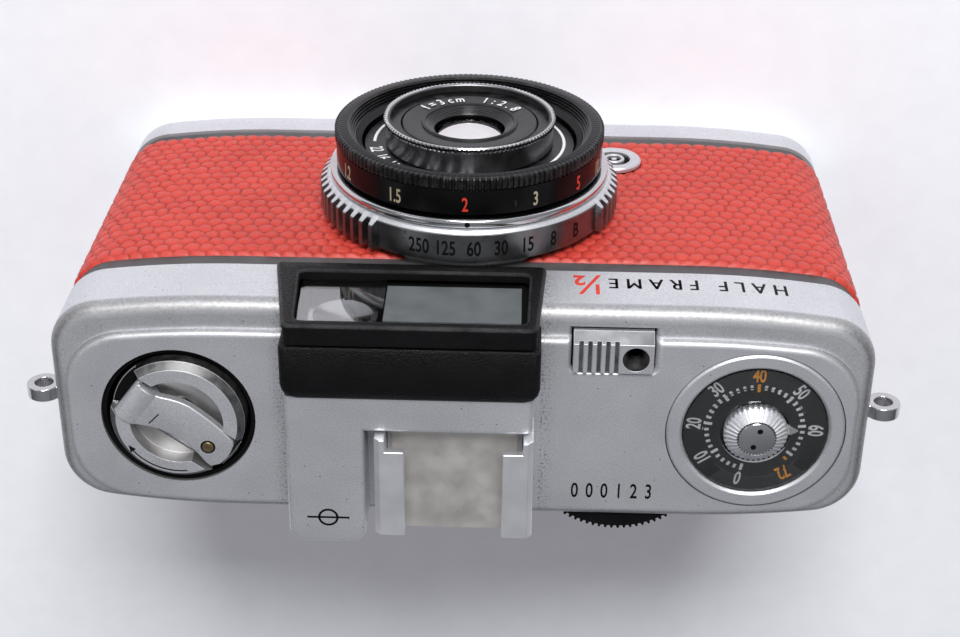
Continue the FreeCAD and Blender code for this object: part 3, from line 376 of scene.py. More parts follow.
def loft(shape, rings, marks, closed=True):
    """Joins rings of points with equal counts by strips, round and round; an open loft gets caps."""
    count = len(rings[0])
    base = len(shape.points)
    for ring in rings:
        shape.points.extend(tuple(p) for p in ring)
    for index, mark in enumerate(marks):
        here, there = base + index * count, base + (index + 1) % len(rings) * count
        for i in range(count):
            j = (i + 1) % count
            shape.faces.append((here + i, here + j, there + j, there + i))
            shape.marks.append(mark)
    if not closed:
        shape.faces.append(tuple(range(base, base + count)))
        shape.faces.append(tuple(range(base + (len(rings) - 1) * count, base + len(rings) * count)))
        shape.marks.extend((marks[0], marks[-1]))


def outline_normals(outline):
    """Outward normal at each point of a closed outline that runs anticlockwise."""
    normals = []
    count = len(outline)
    for i in range(count):
        before, after = outline[i - 1], outline[(i + 1) % count]
        along = Vector((after[0] - before[0], after[1] - before[1])).normalized()
        normals.append((along.y, -along.x))
    return normals


def prism(shape, outline, place, bottom, top, mark=0, bevel=0.0):
    """Solid between two levels over an anticlockwise outline of (u, v) points, with a rounded upper edge."""
    steps = [(0.0, bottom), (0.0, top)]
    if bevel:
        steps = [(0.0, bottom)] + [(bevel * (1 - math.cos(a)), top - bevel * (1 - math.sin(a)))
                                   for a in (0.0, math.pi / 6, math.pi / 3, math.pi / 2)]
    normals = outline_normals(outline)
    rings = [[place(u - nu * inset, v - nv * inset, level) for (u, v), (nu, nv) in zip(outline, normals)]
             for inset, level in steps]
    loft(shape, rings, [mark] * (len(rings) - 1), closed=False)


def rounded_outline(u, v, radius, steps=6):
    """Anticlockwise rectangle from u[0], v[0] to u[1], v[1] with rounded corners."""
    points = []
    corners = [(u[1] - radius, v[0] + radius, -90), (u[1] - radius, v[1] - radius, 0),
               (u[0] + radius, v[1] - radius, 90), (u[0] + radius, v[0] + radius, 180)]
    for cu, cv, start in corners:
        for step in range(steps + 1):
            angle = math.radians(start + 90 * step / steps)
            points.append((cu + radius * math.cos(angle), cv + radius * math.sin(angle)))
    return points


def circle_outline(u, v, radius, count=48):
    return [(u + radius * math.cos(a), v + radius * math.sin(a)) for a in even_turns(count)]


def link(name, mesh, body, slot, replaces=()):
    """Shows a mesh as a piece that rides on a body, in place of CAD nodes; slot is its material slot, which
    is not used.
    """
    piece = bpy.data.objects.new(name, mesh)
    bpy.context.scene.collection.objects.link(piece)
    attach(piece, body)
    if replaces:
        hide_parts(*replaces)
    return piece


def build(name, shape, body, materials, replaces=(), slot=None, smooth=32):
    """Makes a piece from a shape; smooth is the angle in degrees under which edges look round."""
    mesh = bpy.data.meshes.new(name)
    mesh.from_pydata([mm(*p) for p in shape.points], [], shape.faces)
    for material in materials:
        mesh.materials.append(MATERIALS[material])
    mesh.polygons.foreach_set("material_index", shape.marks)
    work = bmesh.new()
    work.from_mesh(mesh)
    bmesh.ops.recalc_face_normals(work, faces=work.faces)
    work.to_mesh(mesh)
    work.free()
    mesh.shade_smooth()
    mesh.set_sharp_from_angle(angle=math.radians(smooth))
    link(name, mesh, body, slot or materials[0], replaces)


def polished(node, width, materials=None, choose=None, edge=-1, segments=3):
    """A CAD node with rounded edges; choose(centre, normal) picks a face's material, edge the strips'."""
    mesh = NODES[node].data.copy()
    mesh.name = node + "_finished"
    if "custom_normal" in mesh.attributes:
        mesh.attributes.remove(mesh.attributes["custom_normal"])
    mesh.materials.clear()
    for material in materials or [SLOT_OF[node]]:
        mesh.materials.append(MATERIALS[material])
    work = bmesh.new()
    work.from_mesh(mesh)
    bmesh.ops.remove_doubles(work, verts=work.verts, dist=2e-6)
    bmesh.ops.dissolve_limit(work, angle_limit=math.radians(0.8), verts=work.verts, edges=work.edges)
    if choose:
        for face in work.faces:
            face.material_index = choose(face.calc_center_median() / MM, face.normal)
    work.to_mesh(mesh)
    work.free()
    mesh.shade_smooth()
    piece = link(node + "_finished", mesh, BODY_OF[node], SLOT_OF[node], [node])
    bevel = piece.modifiers.new("rounding", "BEVEL")
    bevel.width = width * MM
    bevel.segments = segments
    bevel.limit_method = "ANGLE"
    bevel.angle_limit = math.radians(32)
    bevel.material = edge
    bevel.harden_normals = True


def flat_place(origin, right, up):
    """Maps a label's (x, y, height) onto a plane."""
    origin, right, up = Vector(origin), Vector(right), Vector(up)
    normal = right.cross(up)
    return lambda x, y, h: origin + right * x + up * y + normal * h


def from_above(u, v, z):
    """Maps an outline seen from above onto a level."""
    return (u, v, z)


def top_place(x, y, z):
    """Maps a label onto a level surface, where it reads along -X."""
    return flat_place((x, y, z), (-1, 0, 0), (0, -1, 0))


def band_place(radius, level, angle):
    """Maps a label onto a lens ring's outside at an angle in degrees, with its top towards the front."""
    return lambda x, y, h: lens_axis(radius + h, math.radians(angle) + x / radius, level - y)


def text_shape(shape, text, size, place, width, depth, weight, spacing=1.0):
    """Raised lettering, centred: size is the height of a capital, width squeezes it sideways."""
    curve = bpy.data.curves.new("text", "FONT")
    curve.body = text
    curve.align_x, curve.align_y = "CENTER", "CENTER"
    curve.size = 1.43
    curve.extrude = 0.5
    curve.offset = weight
    curve.space_character = spacing
    curve.resolution_u = 5
    holder = bpy.data.objects.new("text", curve)
    mesh = bpy.data.meshes.new_from_object(holder)
    points = [place(v.co.x * size * width, v.co.y * size, (v.co.z + 0.5) * depth - 0.4 * depth)
              for v in mesh.vertices]
    shape.add(points, [tuple(p.vertices) for p in mesh.polygons])
    bpy.data.objects.remove(holder)
    bpy.data.curves.remove(curve)
    bpy.data.meshes.remove(mesh)


# ---------------------------------------------------------------- leather
# The body's plan: walls that are flat in the middle, bend back slowly in a crown and turn a corner.
HALF_WIDTH = 54.0
FRONT_Y, REAR_Y = -14.5, 18.0
FRONT_SEAM_Y, REAR_SEAM_Y = 6.3, 6.5
CROWN_START, CROWN_R, CORNER_R = 30.0, 135.0, 7.0
LEAN = math.asin((HALF_WIDTH - CORNER_R - CROWN_START) / (CROWN_R - CORNER_R))
CORNER_DEPTH = CROWN_R - (CROWN_R - CORNER_R) * math.cos(LEAN)
TURN_END = CROWN_START + CROWN_R * LEAN + CORNER_R * (math.pi / 2 - LEAN)
LEATHER_Z = (7.7, 47.7)
LEATHER_STEP = 0.25
EDGE_WIDTH, EDGE_DROP = 0.6, 0.5
SCALE_PITCH = (2.08, 1.95)
FRONT_SEED, REAR_SEED = 7, 8


def wall_path(along, front):
    """Plan position and outward normal at a distance along the front or rear wall from its middle."""
    side, run = np.sign(along), np.abs(along)
    crown, corner = CROWN_R * LEAN, CORNER_R * (math.pi / 2 - LEAN)
    lean = np.clip(run - CROWN_START, 0, crown) / CROWN_R
    bend = lean + np.clip(run - CROWN_START - crown, 0, corner) / CORNER_R
    straight = np.maximum(run - TURN_END, 0)
    x = np.minimum(run, CROWN_START) + CROWN_R * np.sin(lean) + CORNER_R * (np.sin(bend) - np.sin(lean))
    depth = CROWN_R * (1 - np.cos(lean)) + CORNER_R * (np.cos(lean) - np.cos(bend)) + straight
    inward = 1 if front else -1
    edge = FRONT_Y if front else REAR_Y
    return side * x, edge + inward * depth, side * np.sin(bend), -inward * np.cos(bend)


def scale_relief(u, v, seed):
    """Height of a grain of rounded scales, and how deep each point lies in a groove, 0 to 1."""
    pitch_u, pitch_v = SCALE_PITCH
    jitter = np.random.default_rng(seed).uniform(-1, 1, (3, 64, 160))
    row = np.floor(v / pitch_v).astype(int)
    nearest = np.full(u.shape, 9.0)
    second = np.full(u.shape, 9.0)
    for row_step in (-1, 0, 1):
        r = row + row_step
        column = np.floor(u / pitch_u - 0.5 * (r % 2)).astype(int)
        for column_step in (-1, 0, 1):
            c = column + column_step
            ju, jv, size = (table[r % 64, c % 160] for table in jitter)
            du = u - (c + 0.5 + 0.5 * (r % 2) + 0.11 * ju) * pitch_u
            dv = v - (r + 0.5 + 0.11 * jv) * pitch_v
            far = np.hypot(du, dv) * (1 + 0.1 * size)
            second = np.minimum(second, np.maximum(far, nearest))
            nearest = np.minimum(nearest, far)
    edge = np.clip((second - nearest) / 0.34, 0, 1)
    groove = 1 - edge * edge * (3 - 2 * edge)
    dome = np.clip(1 - (nearest / 0.94) ** 4, 0, 1) ** 0.5
    return 0.18 * dome - 0.14 * groove - 0.04, groove


def leather(name, front, holes, body, node):
    """Leather on the front or rear wall, with holes given as (x, z, radius)."""
    seam_depth = FRONT_SEAM_Y - FRONT_Y if front else REAR_Y - REAR_SEAM_Y
    limit = TURN_END + seam_depth - CORNER_DEPTH
    columns = np.linspace(-limit, limit, int(2 * limit / LEATHER_STEP))
    rows = np.linspace(*LEATHER_Z, int((LEATHER_Z[1] - LEATHER_Z[0]) / LEATHER_STEP))
    u, z = np.meshgrid(columns, rows)
    x, y, nx, ny = wall_path(u, front)
    height, groove = scale_relief(u + 100, z, FRONT_SEED if front else REAR_SEED)
    rim = np.minimum(limit - np.abs(u), np.minimum(z - LEATHER_Z[0], LEATHER_Z[1] - z))
    for hole_x, hole_z, radius in holes:
        rim = np.minimum(rim, np.hypot(x - hole_x, z - hole_z) - radius)
    share = np.clip(rim / EDGE_WIDTH, 0, 1)
    rise = np.sqrt(1 - (1 - share) ** 2)
    offset = height * rise - EDGE_DROP * (1 - rise)
    points = np.stack([x + nx * offset, y + ny * offset, z], -1).reshape(-1, 3) * MM
    index = np.arange(u.size).reshape(u.shape)
    quads = np.stack([index[:-1, :-1], index[:-1, 1:], index[1:, 1:], index[1:, :-1]], -1).reshape(-1, 4)
    quads = quads[(rim.reshape(-1)[quads] > -0.3).any(axis=1)]
    if not front:
        quads = quads[:, ::-1]
    mesh = bpy.data.meshes.new(name)
    mesh.from_pydata(points.tolist(), [], quads.tolist())
    depths = mesh.attributes.new("groove", "FLOAT", "POINT")
    depths.data.foreach_set("value", groove.reshape(-1).astype(np.float32))
    mesh.materials.append(MATERIALS["red_leather"])
    mesh.shade_smooth()
    link(name, mesh, body, "red_leather", [node])


leather("leather_front", True, [(0, LENS_Z, 18.2), (*SOCKET, 3.9)], "body", "front_leather")
leather("leather_back", False, [], "back", "back_leather")


# ---------------------------------------------------------------- lens rings
def repeated(count, phases):
    """Angles of a ring's cross-sections: each of count pitches is cut at the given phases, 0 to 1."""
    return [2 * math.pi * (step + phase) / count for step in range(count) for phase in phases]


def tooth_height(angle, count, top, foot):
    """1 on a tooth's top and 0 in the gap; top and foot are shares of the pitch."""
    away = abs(angle / (2 * math.pi) * count % 1 - 0.5)
    return min(1.0, max(0.0, (foot / 2 - away) / (foot / 2 - top / 2)))


def make_speed_ring():
    count, tip, root = 72, 20.95, 20.1
    profile = [(17.47, -15.6, 0), (20.8, -15.6, 0), (tip, -15.75, 0), (tip, -19.0, 0),
               (tip - 0.08, -19.15, 1), (19.75, -20.14, 1), (19.6, -20.2, 2), (17.47, -20.2, 0)]

    def shift(index, angle):
        signed = (math.degrees(angle) + 180) % 360 - 180
        height = 0.0 if -36.5 <= signed <= 61.5 else tooth_height(angle, count, 0.36, 0.56)
        if not 1 <= index <= 4:
            return 0, 0
        return -(tip - root) * (1 - height), (0 if index <= 2 else -0.6 * (1 - height))

    shape = Shape()
    lathe(shape, lens_axis, profile, repeated(count, (0.0, 0.1, 0.22, 0.32, 0.5, 0.68, 0.78, 0.9)), shift)
    # the toothed side is painted darker chrome as shade
    build("speed_ring_toothed", shape, "speed", ["speed_side_shaded", "satin_chrome", "satin_chrome"],
          ["speed_ring"], "bright_chrome", smooth=28)
    labels = Shape()
    speeds = (("250", -17.6), ("125", -7.3), ("60", 3.6), ("30", 14), ("15", 24.6), ("8", 36), ("B", 47.5))
    for text, angle in speeds:
        text_shape(labels, text, 2.05, band_place(root, -17.55, angle), 0.66, 0.02, 0.03)
    build("speed_numbers", labels, "speed", ["black_ink"], slot="black_paint")


def make_index_ring():
    shape = Shape()
    profile = [(17.42, -21.5, 0), (17.42, -20.35, 0), (19.3, -20.35, 0), (19.45, -20.45, 0),
               (19.5, -20.55, 0), (19.5, -21.25, 0), (19.42, -21.4, 0), (19.25, -21.5, 0), (18.9, -21.5, 0)]
    lathe(shape, lens_axis, profile, even_turns(192))
    build("index_ring_polished", shape, "body", ["bright_chrome"], ["index_ring"], smooth=50)
    dot = Shape()
    prism(dot, circle_outline(0, 0, 0.36, 24), band_place(19.48, -20.88, 1), 0.0, 0.05)
    build("index_dot", dot, "body", ["black_ink"], slot="black_paint")


def make_focus_ring():
    teeth = range(6, 10)
    profile = [(15.0, -21.75, 0), (18.3, -21.75, 0), (18.5, -21.85, 0), (18.6, -22.0, 0),
               (18.6, -25.3, 0), (18.4, -25.4, 0), (18.72, -25.55, 1), (18.77, -25.65, 1),
               (18.77, -26.95, 1), (18.6, -27.12, 1), (18.2, -27.2, 0), (17.0, -27.2, 1), (16.85, -27.05, 1)]
    radius, level = 16.7, -27.0
    for _ in range(4):
        profile += [(radius, level, 0), (radius - 0.03, level + 0.28, 1), (radius - 0.2, level + 0.3, 0)]
        radius, level = radius - 0.22, level + 0.33
    profile += [(15.75, -25.6, 2), (15.02, -24.9, 0)]

    def shift(index, angle):
        if index not in teeth:
            return 0, 0
        return -0.3 * (1 - tooth_height(angle, 150, 0.3, 0.72)), 0

    shape = Shape()
    lathe(shape, lens_axis, profile, repeated(150, (0.12, 0.35, 0.65, 0.88)), shift)
    build("focus_ring_knurled", shape, "focus", ["ring_black", "worn_black", "black_metal"],
          ["focus_ring"], "black_paint", smooth=28)
    cream = Shape()
    red = Shape()
    numbers = (("1.2", -61.5), ("1.5", -30.5), ("3", 30), ("10", 72), ("∞", 92), ("1", -93), ("0.8", -140),
               ("0.6", 139))
    for text, angle in numbers:
        text_shape(cream, text, 1.95, band_place(18.6, -23.3, angle), 0.62, 0.03, 0.02)
    for text, angle in (("2", 0), ("5", 54)):
        text_shape(red, text, 1.95, band_place(18.6, -23.3, angle), 0.62, 0.03, 0.02)
    build("distance_numbers", cream, "focus", ["cream_ink"], slot="black_paint")
    build("distance_numbers_red", red, "focus", ["red_ink"], slot="black_paint")
    screw = Shape()
    # the screw's hole is a deep black disc under its slot, a painted shade
    prism(screw, circle_outline(0, 0, 0.72, 24), band_place(18.6, -23.2, 21), -0.2, 0.03, 1)
    prism(screw, rounded_outline((-0.12, 0.12), (-0.4, 0.4), 0.05, 2), band_place(18.6, -23.2, 21), 0.0, 0.06)
    build("set_screw", screw, "focus", ["black_metal", "deep_black"], slot="black_paint")


def face_place(radius, level, angle, outward=False):
    """Maps a label onto a ring's front face at an angle in degrees from the top towards +X."""
    turn = math.radians(angle)
    out = Vector((math.sin(turn), 0, math.cos(turn)))
    across = Vector((math.cos(turn), 0, -math.sin(turn)))
    up, right = (out, across) if outward else (-out, -across)
    return flat_place(Vector((0, level, LENS_Z)) + out * radius, right, up)


SCALE_Y = -24.4


def make_scale():
    shape = Shape()
    profile = [(5.5, -26.3, 0), (5.5, -23.6, 0), (6.3, -23.2, 0), (13.4, -23.2, 0), (13.4, -15.4, 0),
               (14.75, -15.4, 0), (14.75, -24.15, 0), (14.6, -24.35, 1), (14.3, SCALE_Y, 1),
               (9.5, SCALE_Y, 0), (9.5, -26.3, 0)]
    lathe(shape, lens_axis, profile, even_turns(160))
    build("scale_barrel", shape, "lens", ["ring_black", "worn_black"], ["lens_barrel"], "black_paint",
          smooth=40)
    white = Shape()
    for text, angle in (("22", 75), ("16", 63), ("11", 51), ("8", 39), ("5.6", 26), ("4", 13), ("2.8", 0)):
        text_shape(white, text, 1.75, face_place(13.25, SCALE_Y, angle), 0.68, 0.02, 0.02)
    sweep = [math.radians(a) for a in range(87, 309, 3)]
    ring = [(13.45, SCALE_Y), (13.05, SCALE_Y), (13.05, SCALE_Y - 0.03), (13.45, SCALE_Y - 0.03)]
    strip = [[(r * math.sin(a), y, LENS_Z + r * math.cos(a)) for r, y in ring] for a in sweep]
    loft(white, strip, [0] * (len(strip) - 1), closed=False)
    build("aperture_scale", white, "lens", ["white_ink"], slot="black_paint")


def make_aperture_ring():
    profile = [(9.6, -24.6, 0), (11.6, -24.6, 0), (11.7, -24.7, 0), (11.7, -27.45, 0), (11.75, -27.6, 3),
               (11.9, -27.7, 3), (11.95, -27.8, 3), (11.95, -28.25, 3), (11.83, -28.4, 3),
               (11.5, -28.4, 3), (11.38, -28.3, 0)]
    radius, level = 11.3, -28.2
    for _ in range(5):
        # the steps' faces get the lighter ridge grey, a painted highlight
        profile += [(radius, level, 1), (radius - 0.22, level + 0.04, 2), (radius - 0.2, level + 0.12, 1)]
        level += 0.17
    profile += [(11.2, -27.3, 1), (9.6, -27.3, 1)]

    def shift(index, angle):
        if 5 <= index <= 8:
            return -0.2 * (1 - tooth_height(angle, 116, 0.35, 0.7)), 0
        return 0, 0

    shape = Shape()
    lathe(shape, lens_axis, profile, repeated(116, (0.13, 0.35, 0.65, 0.87)), shift)
    build("aperture_ring_toothed", shape, "aperture",
          ["ring_chrome", "worn_black", "ridge_highlight_grey", "bright_chrome"], ["aperture_ring"], "bright_chrome",
          smooth=26)


def make_name_ring():
    profile = [(9.45, -26.33, 0), (9.45, -27.25, 0), (9.3, -27.38, 1), (9.05, -27.4, 0), (6.75, -27.2, 0),
               (6.65, -27.4, 1), (6.4, -27.48, 1), (6.2, -27.4, 0)]
    radius, level = 6.15, -27.3
    for _ in range(6):
        # the steps' faces get the lighter ridge grey, a painted highlight
        profile += [(radius, level, 0), (radius - 0.01, level + 0.13, 2), (radius - 0.17, level + 0.13, 0)]
        radius, level = radius - 0.2, level + 0.15
    profile += [(4.9, -26.3, 0), (5.0, -26.25, 0), (5.6, -26.33, 0)]
    shape = Shape()
    lathe(shape, lens_axis, profile, even_turns(128))
    build("name_ring_stepped", shape, "lens", ["name_black", "worn_black", "ridge_highlight_grey"], ["name_ring"],
          "black_paint", smooth=26)
    white = Shape()
    for text, angle, spread in (("f=3cm", 147, 10.5), ("1:2.8", 214, 9.5)):
        for index, letter in enumerate(text):
            step = angle + (index - (len(text) - 1) / 2) * spread
            text_shape(white, letter, 1.75, face_place(7.85, -27.42, step, True), 0.7, 0.02, 0.02)
    build("lens_lettering", white, "lens", ["white_ink"], slot="black_paint")


def make_front_glass():
    shape = Shape()
    curve = [(radius, -26.62 + radius ** 2 / 24, 0) for radius in (0.5 * step for step in range(11))]
    lathe(shape, lens_axis, curve + [(5.0, -24.3, 0), (0.0, -24.0, 0)], even_turns(96))
    build("front_glass", shape, "lens", ["coated_glass"], ["front_element"], smooth=50)


make_speed_ring()
make_index_ring()
make_focus_ring()
make_scale()
make_aperture_ring()
make_name_ring()
make_front_glass()


# ---------------------------------------------------------------- viewfinder hood
def facing(u, v, level):
    """Maps an outline in x and z onto a plane that faces the lens side, level is y."""
    return (u, level, v)


def inset_ring(outline, inset, level):
    """An outline of the hood's front drawn in by an inset."""
    return [facing(u - nu * inset, v - nv * inset, level)
            for (u, v), (nu, nv) in zip(outline, outline_normals(outline))]


HOOD_X, HOOD_Z = (-9.8, 22.3), (50.9, 68.3)
HOOD_FLARE = (-1.2, 2.7)


def flared(outline, share):
    """Widens an outline of the hood's front towards its foot; share is how much of the flare it gets."""
    left, right = HOOD_FLARE
    points = []
    for u, v in outline:
        down = (HOOD_Z[1] - v) / (HOOD_Z[1] - HOOD_Z[0])
        across = (u - HOOD_X[0]) / (HOOD_X[1] - HOOD_X[0])
        points.append((u + share * down * (left + (right - left) * across), v))
    return points


def make_hood():
    """Front frame round the windows, which widens towards its foot, and the block behind it."""
    outer = rounded_outline(HOOD_X, HOOD_Z, 0.9)
    wide = flared(outer, 1.0)
    opening = flared(rounded_outline((-8.35, 20.75), (53.35, 66.7), 1.0), 0.4)
    inner = rounded_outline((-8.8, 21.3), (52.2, 67.4), 0.3)
    steps = [(outer, 0, -12.35, 0), (outer, 0, -14.55, 0), (wide, 0, -14.55, 0), (wide, 0, -14.8, 1),
             (wide, 0.12, -15.05, 1), (wide, 0.4, -15.2, 0), (opening, -0.35, -15.2, 1),
             (opening, -0.1, -15.1, 1), (opening, 0, -14.85, 2), (opening, 0, -13.9, 2),
             (inner, 0, -13.9, 2), (inner, 0, -12.35, 2)]
    frame_shape = Shape()
    loft(frame_shape, [inset_ring(outline, inset, y) for outline, inset, y, _ in steps],
         [mark for *_, mark in steps])
    build("hood_frame", frame_shape, "body", ["hood_black", "hood_edge", "deep_black"], ["viewfinder_hood"],
          "black_paint", smooth=40)
    steps = [(0.3, 0.2, -12.05), (0, 0, -11.75), (0, 0, -6.4), (0.2, 0.05, -5.5), (0.65, 0.25, -4.8),
             (1.4, 0.7, -4.32)]
    rings = [[facing(u, v, y) for u, v in rounded_outline((-10.3 + dx, 22.9 - dx), (50.9, 68.55 - dz), 0.9)]
             for dx, dz, y in steps]
    hole = rounded_outline((-9.0, 21.5), (52.0, 67.5), 0.3)
    rings += [[facing(u, v, -4.32) for u, v in hole], [facing(u, v, -12.05) for u, v in hole]]
    block = Shape()
    loft(block, rings, [0, 0, 0, 0, 0, 0, 2, 0])
    build("hood_block", block, "body", ["hood_black", "hood_edge", "deep_black"], slot="black_paint",
          smooth=40)


# ---------------------------------------------------------------- rewind side
CRANK_HINGE = (43.4, -1.2)
CRANK_OUTLINE = [(-0.26, -2.14), (-0.06, -2.53), (1.91, -2.2), (3.2, -2.6), (4.38, -3.13), (5.6, -3.55),
                 (7.01, -3.8), (8.7, -3.75), (10.42, -3.6), (12.41, -3.34), (13.83, -2.97), (14.5, -2.8),
                 (15.01, -2.17), (15.3, -1.0), (15.42, -0.15), (15.19, 1.3), (14.43, 2.35), (13.54, 2.28),
                 (11.67, 1.66), (9.91, 1.25), (7.94, 1.28), (5.73, 1.73), (4.59, 2.18), (2.97, 3.0),
                 (1.69, 3.4), (0.14, 3.2), (-0.16, 2.74)]


def crank_place(along, across, level):
    """Maps the crank's own axes, from its hinge to its free end, onto the camera."""
    return (CRANK_HINGE[0] - 0.8 * along + 0.6 * across, CRANK_HINGE[1] + 0.6 * along + 0.8 * across, level)


def on_knob_rim(centre, normal):
    """Material of the rewind knob: satin top, rough rim, worn hollow."""
    away = math.hypot(centre.x - REWIND[0], centre.y - REWIND[1])
    if centre.z < 63.0 and away < 8:
        return 2
    return 1 if away > 7.6 and normal.z < 0.9 else 0


def make_crank():
    shape = Shape()
    prism(shape, CRANK_OUTLINE, crank_place, 62.75, 63.85, 0, 0.22)
    barrel = []
    for across, shrink in ((-2.45, 0.2), (-2.3, 0.0), (-0.5, 0.0), (1.5, 0.0), (3.1, 0.0), (3.25, 0.2)):
        radius = 1.4 - shrink
        barrel.append([crank_place(1.35 + 1.3 * radius * math.cos(a), across, 62.9 + radius * math.sin(a))
                       for a in even_turns(32)])
    loft(shape, barrel, [0] * (len(barrel) - 1), closed=False)
    build("crank_arm", shape, "crank", ["satin_chrome"], ["rewind_crank"], smooth=50)
    mark = Shape()
    prism(mark, [(4.15, 1.7), (4.4, -0.3), (4.55, -0.25), (4.3, 1.75)], crank_place, 63.8, 63.875)
    prism(mark, circle_outline(12.4, 0, 1.0, 32), crank_place, 63.8, 63.87)
    build("crank_marks", mark, "crank", ["black_ink"], slot="satin_chrome")
    rivet = Shape()
    prism(rivet, circle_outline(12.4, 0, 0.78, 32), crank_place, 62.2, 64.02, 0, 0.14)
    prism(rivet, circle_outline(12.4, 0, 1.9, 32), crank_place, 61.65, 62.55, 0, 0.1)
    build("crank_rivet", rivet, "grip", ["brass"], ["crank_grip"])


def make_knob():
    polished("rewind_knob", 0.14, ["satin_chrome", "dark_chrome", "worn_chrome"], on_knob_rim, edge=0)
    # a thin deep black plate on the notch floor under the crank's barrel, a painted shadow
    shade = Shape()
    place = upright_axis(*REWIND)
    sector = [place(radius, math.radians(-31.7 + angle), 0)[:2]
              for radius, angles in ((8.8, range(-20, 21, 5)), (6.9, range(20, -21, -5))) for angle in angles]
    prism(shade, sector, from_above, 61.3, 61.43)
    build("crank_notch_shadow", shade, "rewind", ["deep_black"], slot="black_paint")
    arrow = Shape()
    level, half = 63.9, 0.09
    sweep = [math.radians(97 - 4 * step) for step in range(16)]
    section = ((-half, -0.1), (half, -0.1), (half, 0.02), (-half, 0.02))
    strip = [[place(7.6 + side, a, level + up) for side, up in section] for a in sweep]
    loft(arrow, strip, [0] * (len(strip) - 1), closed=False)
    tip = sweep[-1]
    head = [place(7.15, tip, 0)[:2], place(7.6, tip - 0.14, 0)[:2], place(8.05, tip, 0)[:2]]
    prism(arrow, head, from_above, level - 0.1, level + 0.02)
    build("knob_arrow", arrow, "rewind", ["black_ink"], slot="satin_chrome")


# ---------------------------------------------------------------- film counter
def make_counter():
    polished("counter_bezel", 0.1, ["satin_chrome"], segments=2)
    knob = Shape()
    axis = upright_axis(*COUNTER)
    serrated = [(1.05, 61.9, 0), (4.2, 61.9, 0), (4.3, 62.0, 0), (4.3, 62.9, 0), (4.15, 63.1, 0),
                (2.75, 63.95, 0), (2.6, 64.05, 1), (2.46, 63.9, 1), (2.46, 63.3, 1), (1.05, 63.3, 1)]

    def shift(index, angle):
        if 1 <= index <= 5:
            return -0.34 * (1 - tooth_height(angle, 36, 0.3, 0.8)), 0
        return 0, 0

    lathe(knob, axis, serrated, repeated(36, (0.1, 0.3, 0.7, 0.9)), shift)
    cap = circle_outline(*COUNTER, 2.4, 48)
    prism(knob, cap, from_above, 63.35, 64.2, 2, 0.15)
    # the cap's two spanner holes are deep black discs, painted shade
    for side in (-1, 1):
        hole = circle_outline(COUNTER[0] + 0.35 * side, COUNTER[1] + 1.22 * side, 0.38, 24)
        prism(knob, hole, from_above, 63.9, 64.21, 3)
    build("counter_knob_serrated", knob, "counter",
          ["satin_chrome", "dark_chrome", "bright_chrome", "deep_black"], ["counter_knob"], smooth=28)
    white = Shape()
    orange = Shape()
    start = math.atan2(10.4 - COUNTER[1], -37.3 - COUNTER[0])
    for frame_number in range(0, 73, 2):
        angle = start - math.radians(4.22 * frame_number)
        long = frame_number % 10 == 0
        target = orange if frame_number in (40, 72) else white
        half, inner, outer = (0.2, 5.7, 6.75) if long else (0.19, 6.05, 6.65)
        corners = [(inner, -half), (outer, -half), (outer, half), (inner, half)]
        tick = [axis(math.hypot(u, v), angle + math.atan2(v, u), 0)[:2] for u, v in corners]
        prism(target, tick, from_above, 61.25, 61.34)
    for text, x, y in (("0", -37.3, 10.4), ("10", -32.2, 7.65), ("20", -30.75, 2.2), ("30", -33.5, -3.0),
                       ("40", -38.9, -4.95), ("50", -44.3, -2.7), ("60", -46.5, 2.9), ("72", -42.8, 8.95)):
        out = Vector((x - COUNTER[0], y - COUNTER[1], 0)).normalized()
        spot = Vector((*COUNTER, 61.32)) + out * 7.95
        target = orange if text in ("40", "72") else white
        text_shape(target, text, 1.9, flat_place(spot, (out.y, -out.x, 0), out), 0.64, 0.02, 0.03)
    build("counter_numbers", white, "body", ["white_ink"], slot="black_paint")
    build("counter_numbers_orange", orange, "body", ["orange_ink"], slot="black_paint")


# ---------------------------------------------------------------- marks on the covers
def wall_label(along, level):
    """Maps a label onto the front wall of the top cover at a distance from its middle."""
    def place(x, y, h):
        wall_x, wall_y, nx, ny = wall_path(np.float64(along + x), True)
        return (wall_x + nx * h, wall_y + ny * h, level + y)
    return place


def make_marks():
    black = Shape()
    red = Shape()
    for shift in (-0.05, 0.05):
        text_shape(black, "HALF FRAME", 2.75, wall_label(-30.9 + shift, 53.9), 0.72, 0.02, 0.0, spacing=1.6)
    text_shape(red, "½", 5.0, wall_label(-16.2, 54.3), 0.75, 0.03, 0.02)
    text_shape(black, "000123", 2.3, top_place(-20.4, 12.85, 62.4), 0.62, 0.02, 0.02, spacing=1.95)
    section = ((1.06, 67.78), (1.36, 67.78), (1.36, 67.83), (1.06, 67.83))
    circle = [[(17.3 + r * math.cos(a), 14.3 + r * math.sin(a), z) for r, z in section]
              for a in even_turns(48)]
    loft(black, circle, [0] * len(circle))
    prism(black, [(14.5, 14.16), (20.1, 14.16), (20.1, 14.44), (14.5, 14.44)], from_above, 67.78, 67.83)
    build("cover_marks", black, "body", ["black_ink"], slot="black_paint")
    build("cover_mark_red", red, "body", ["red_ink"], slot="black_paint")


make_hood()
make_crank()
make_knob()
make_counter()
make_marks()


# ---------------------------------------------------------------- other finished pieces
OPENING_X, OPENING_Y, OPENING_R = (-26.0, -13.7), (-12.0, -5.5), 1.4
PLATE_Z, PLATE_FRONT, PLATE_EDGE, SHOULDER_Z = 62.4, -10.6, 0.85, 61.3
SPRING_SHARE = 0.3


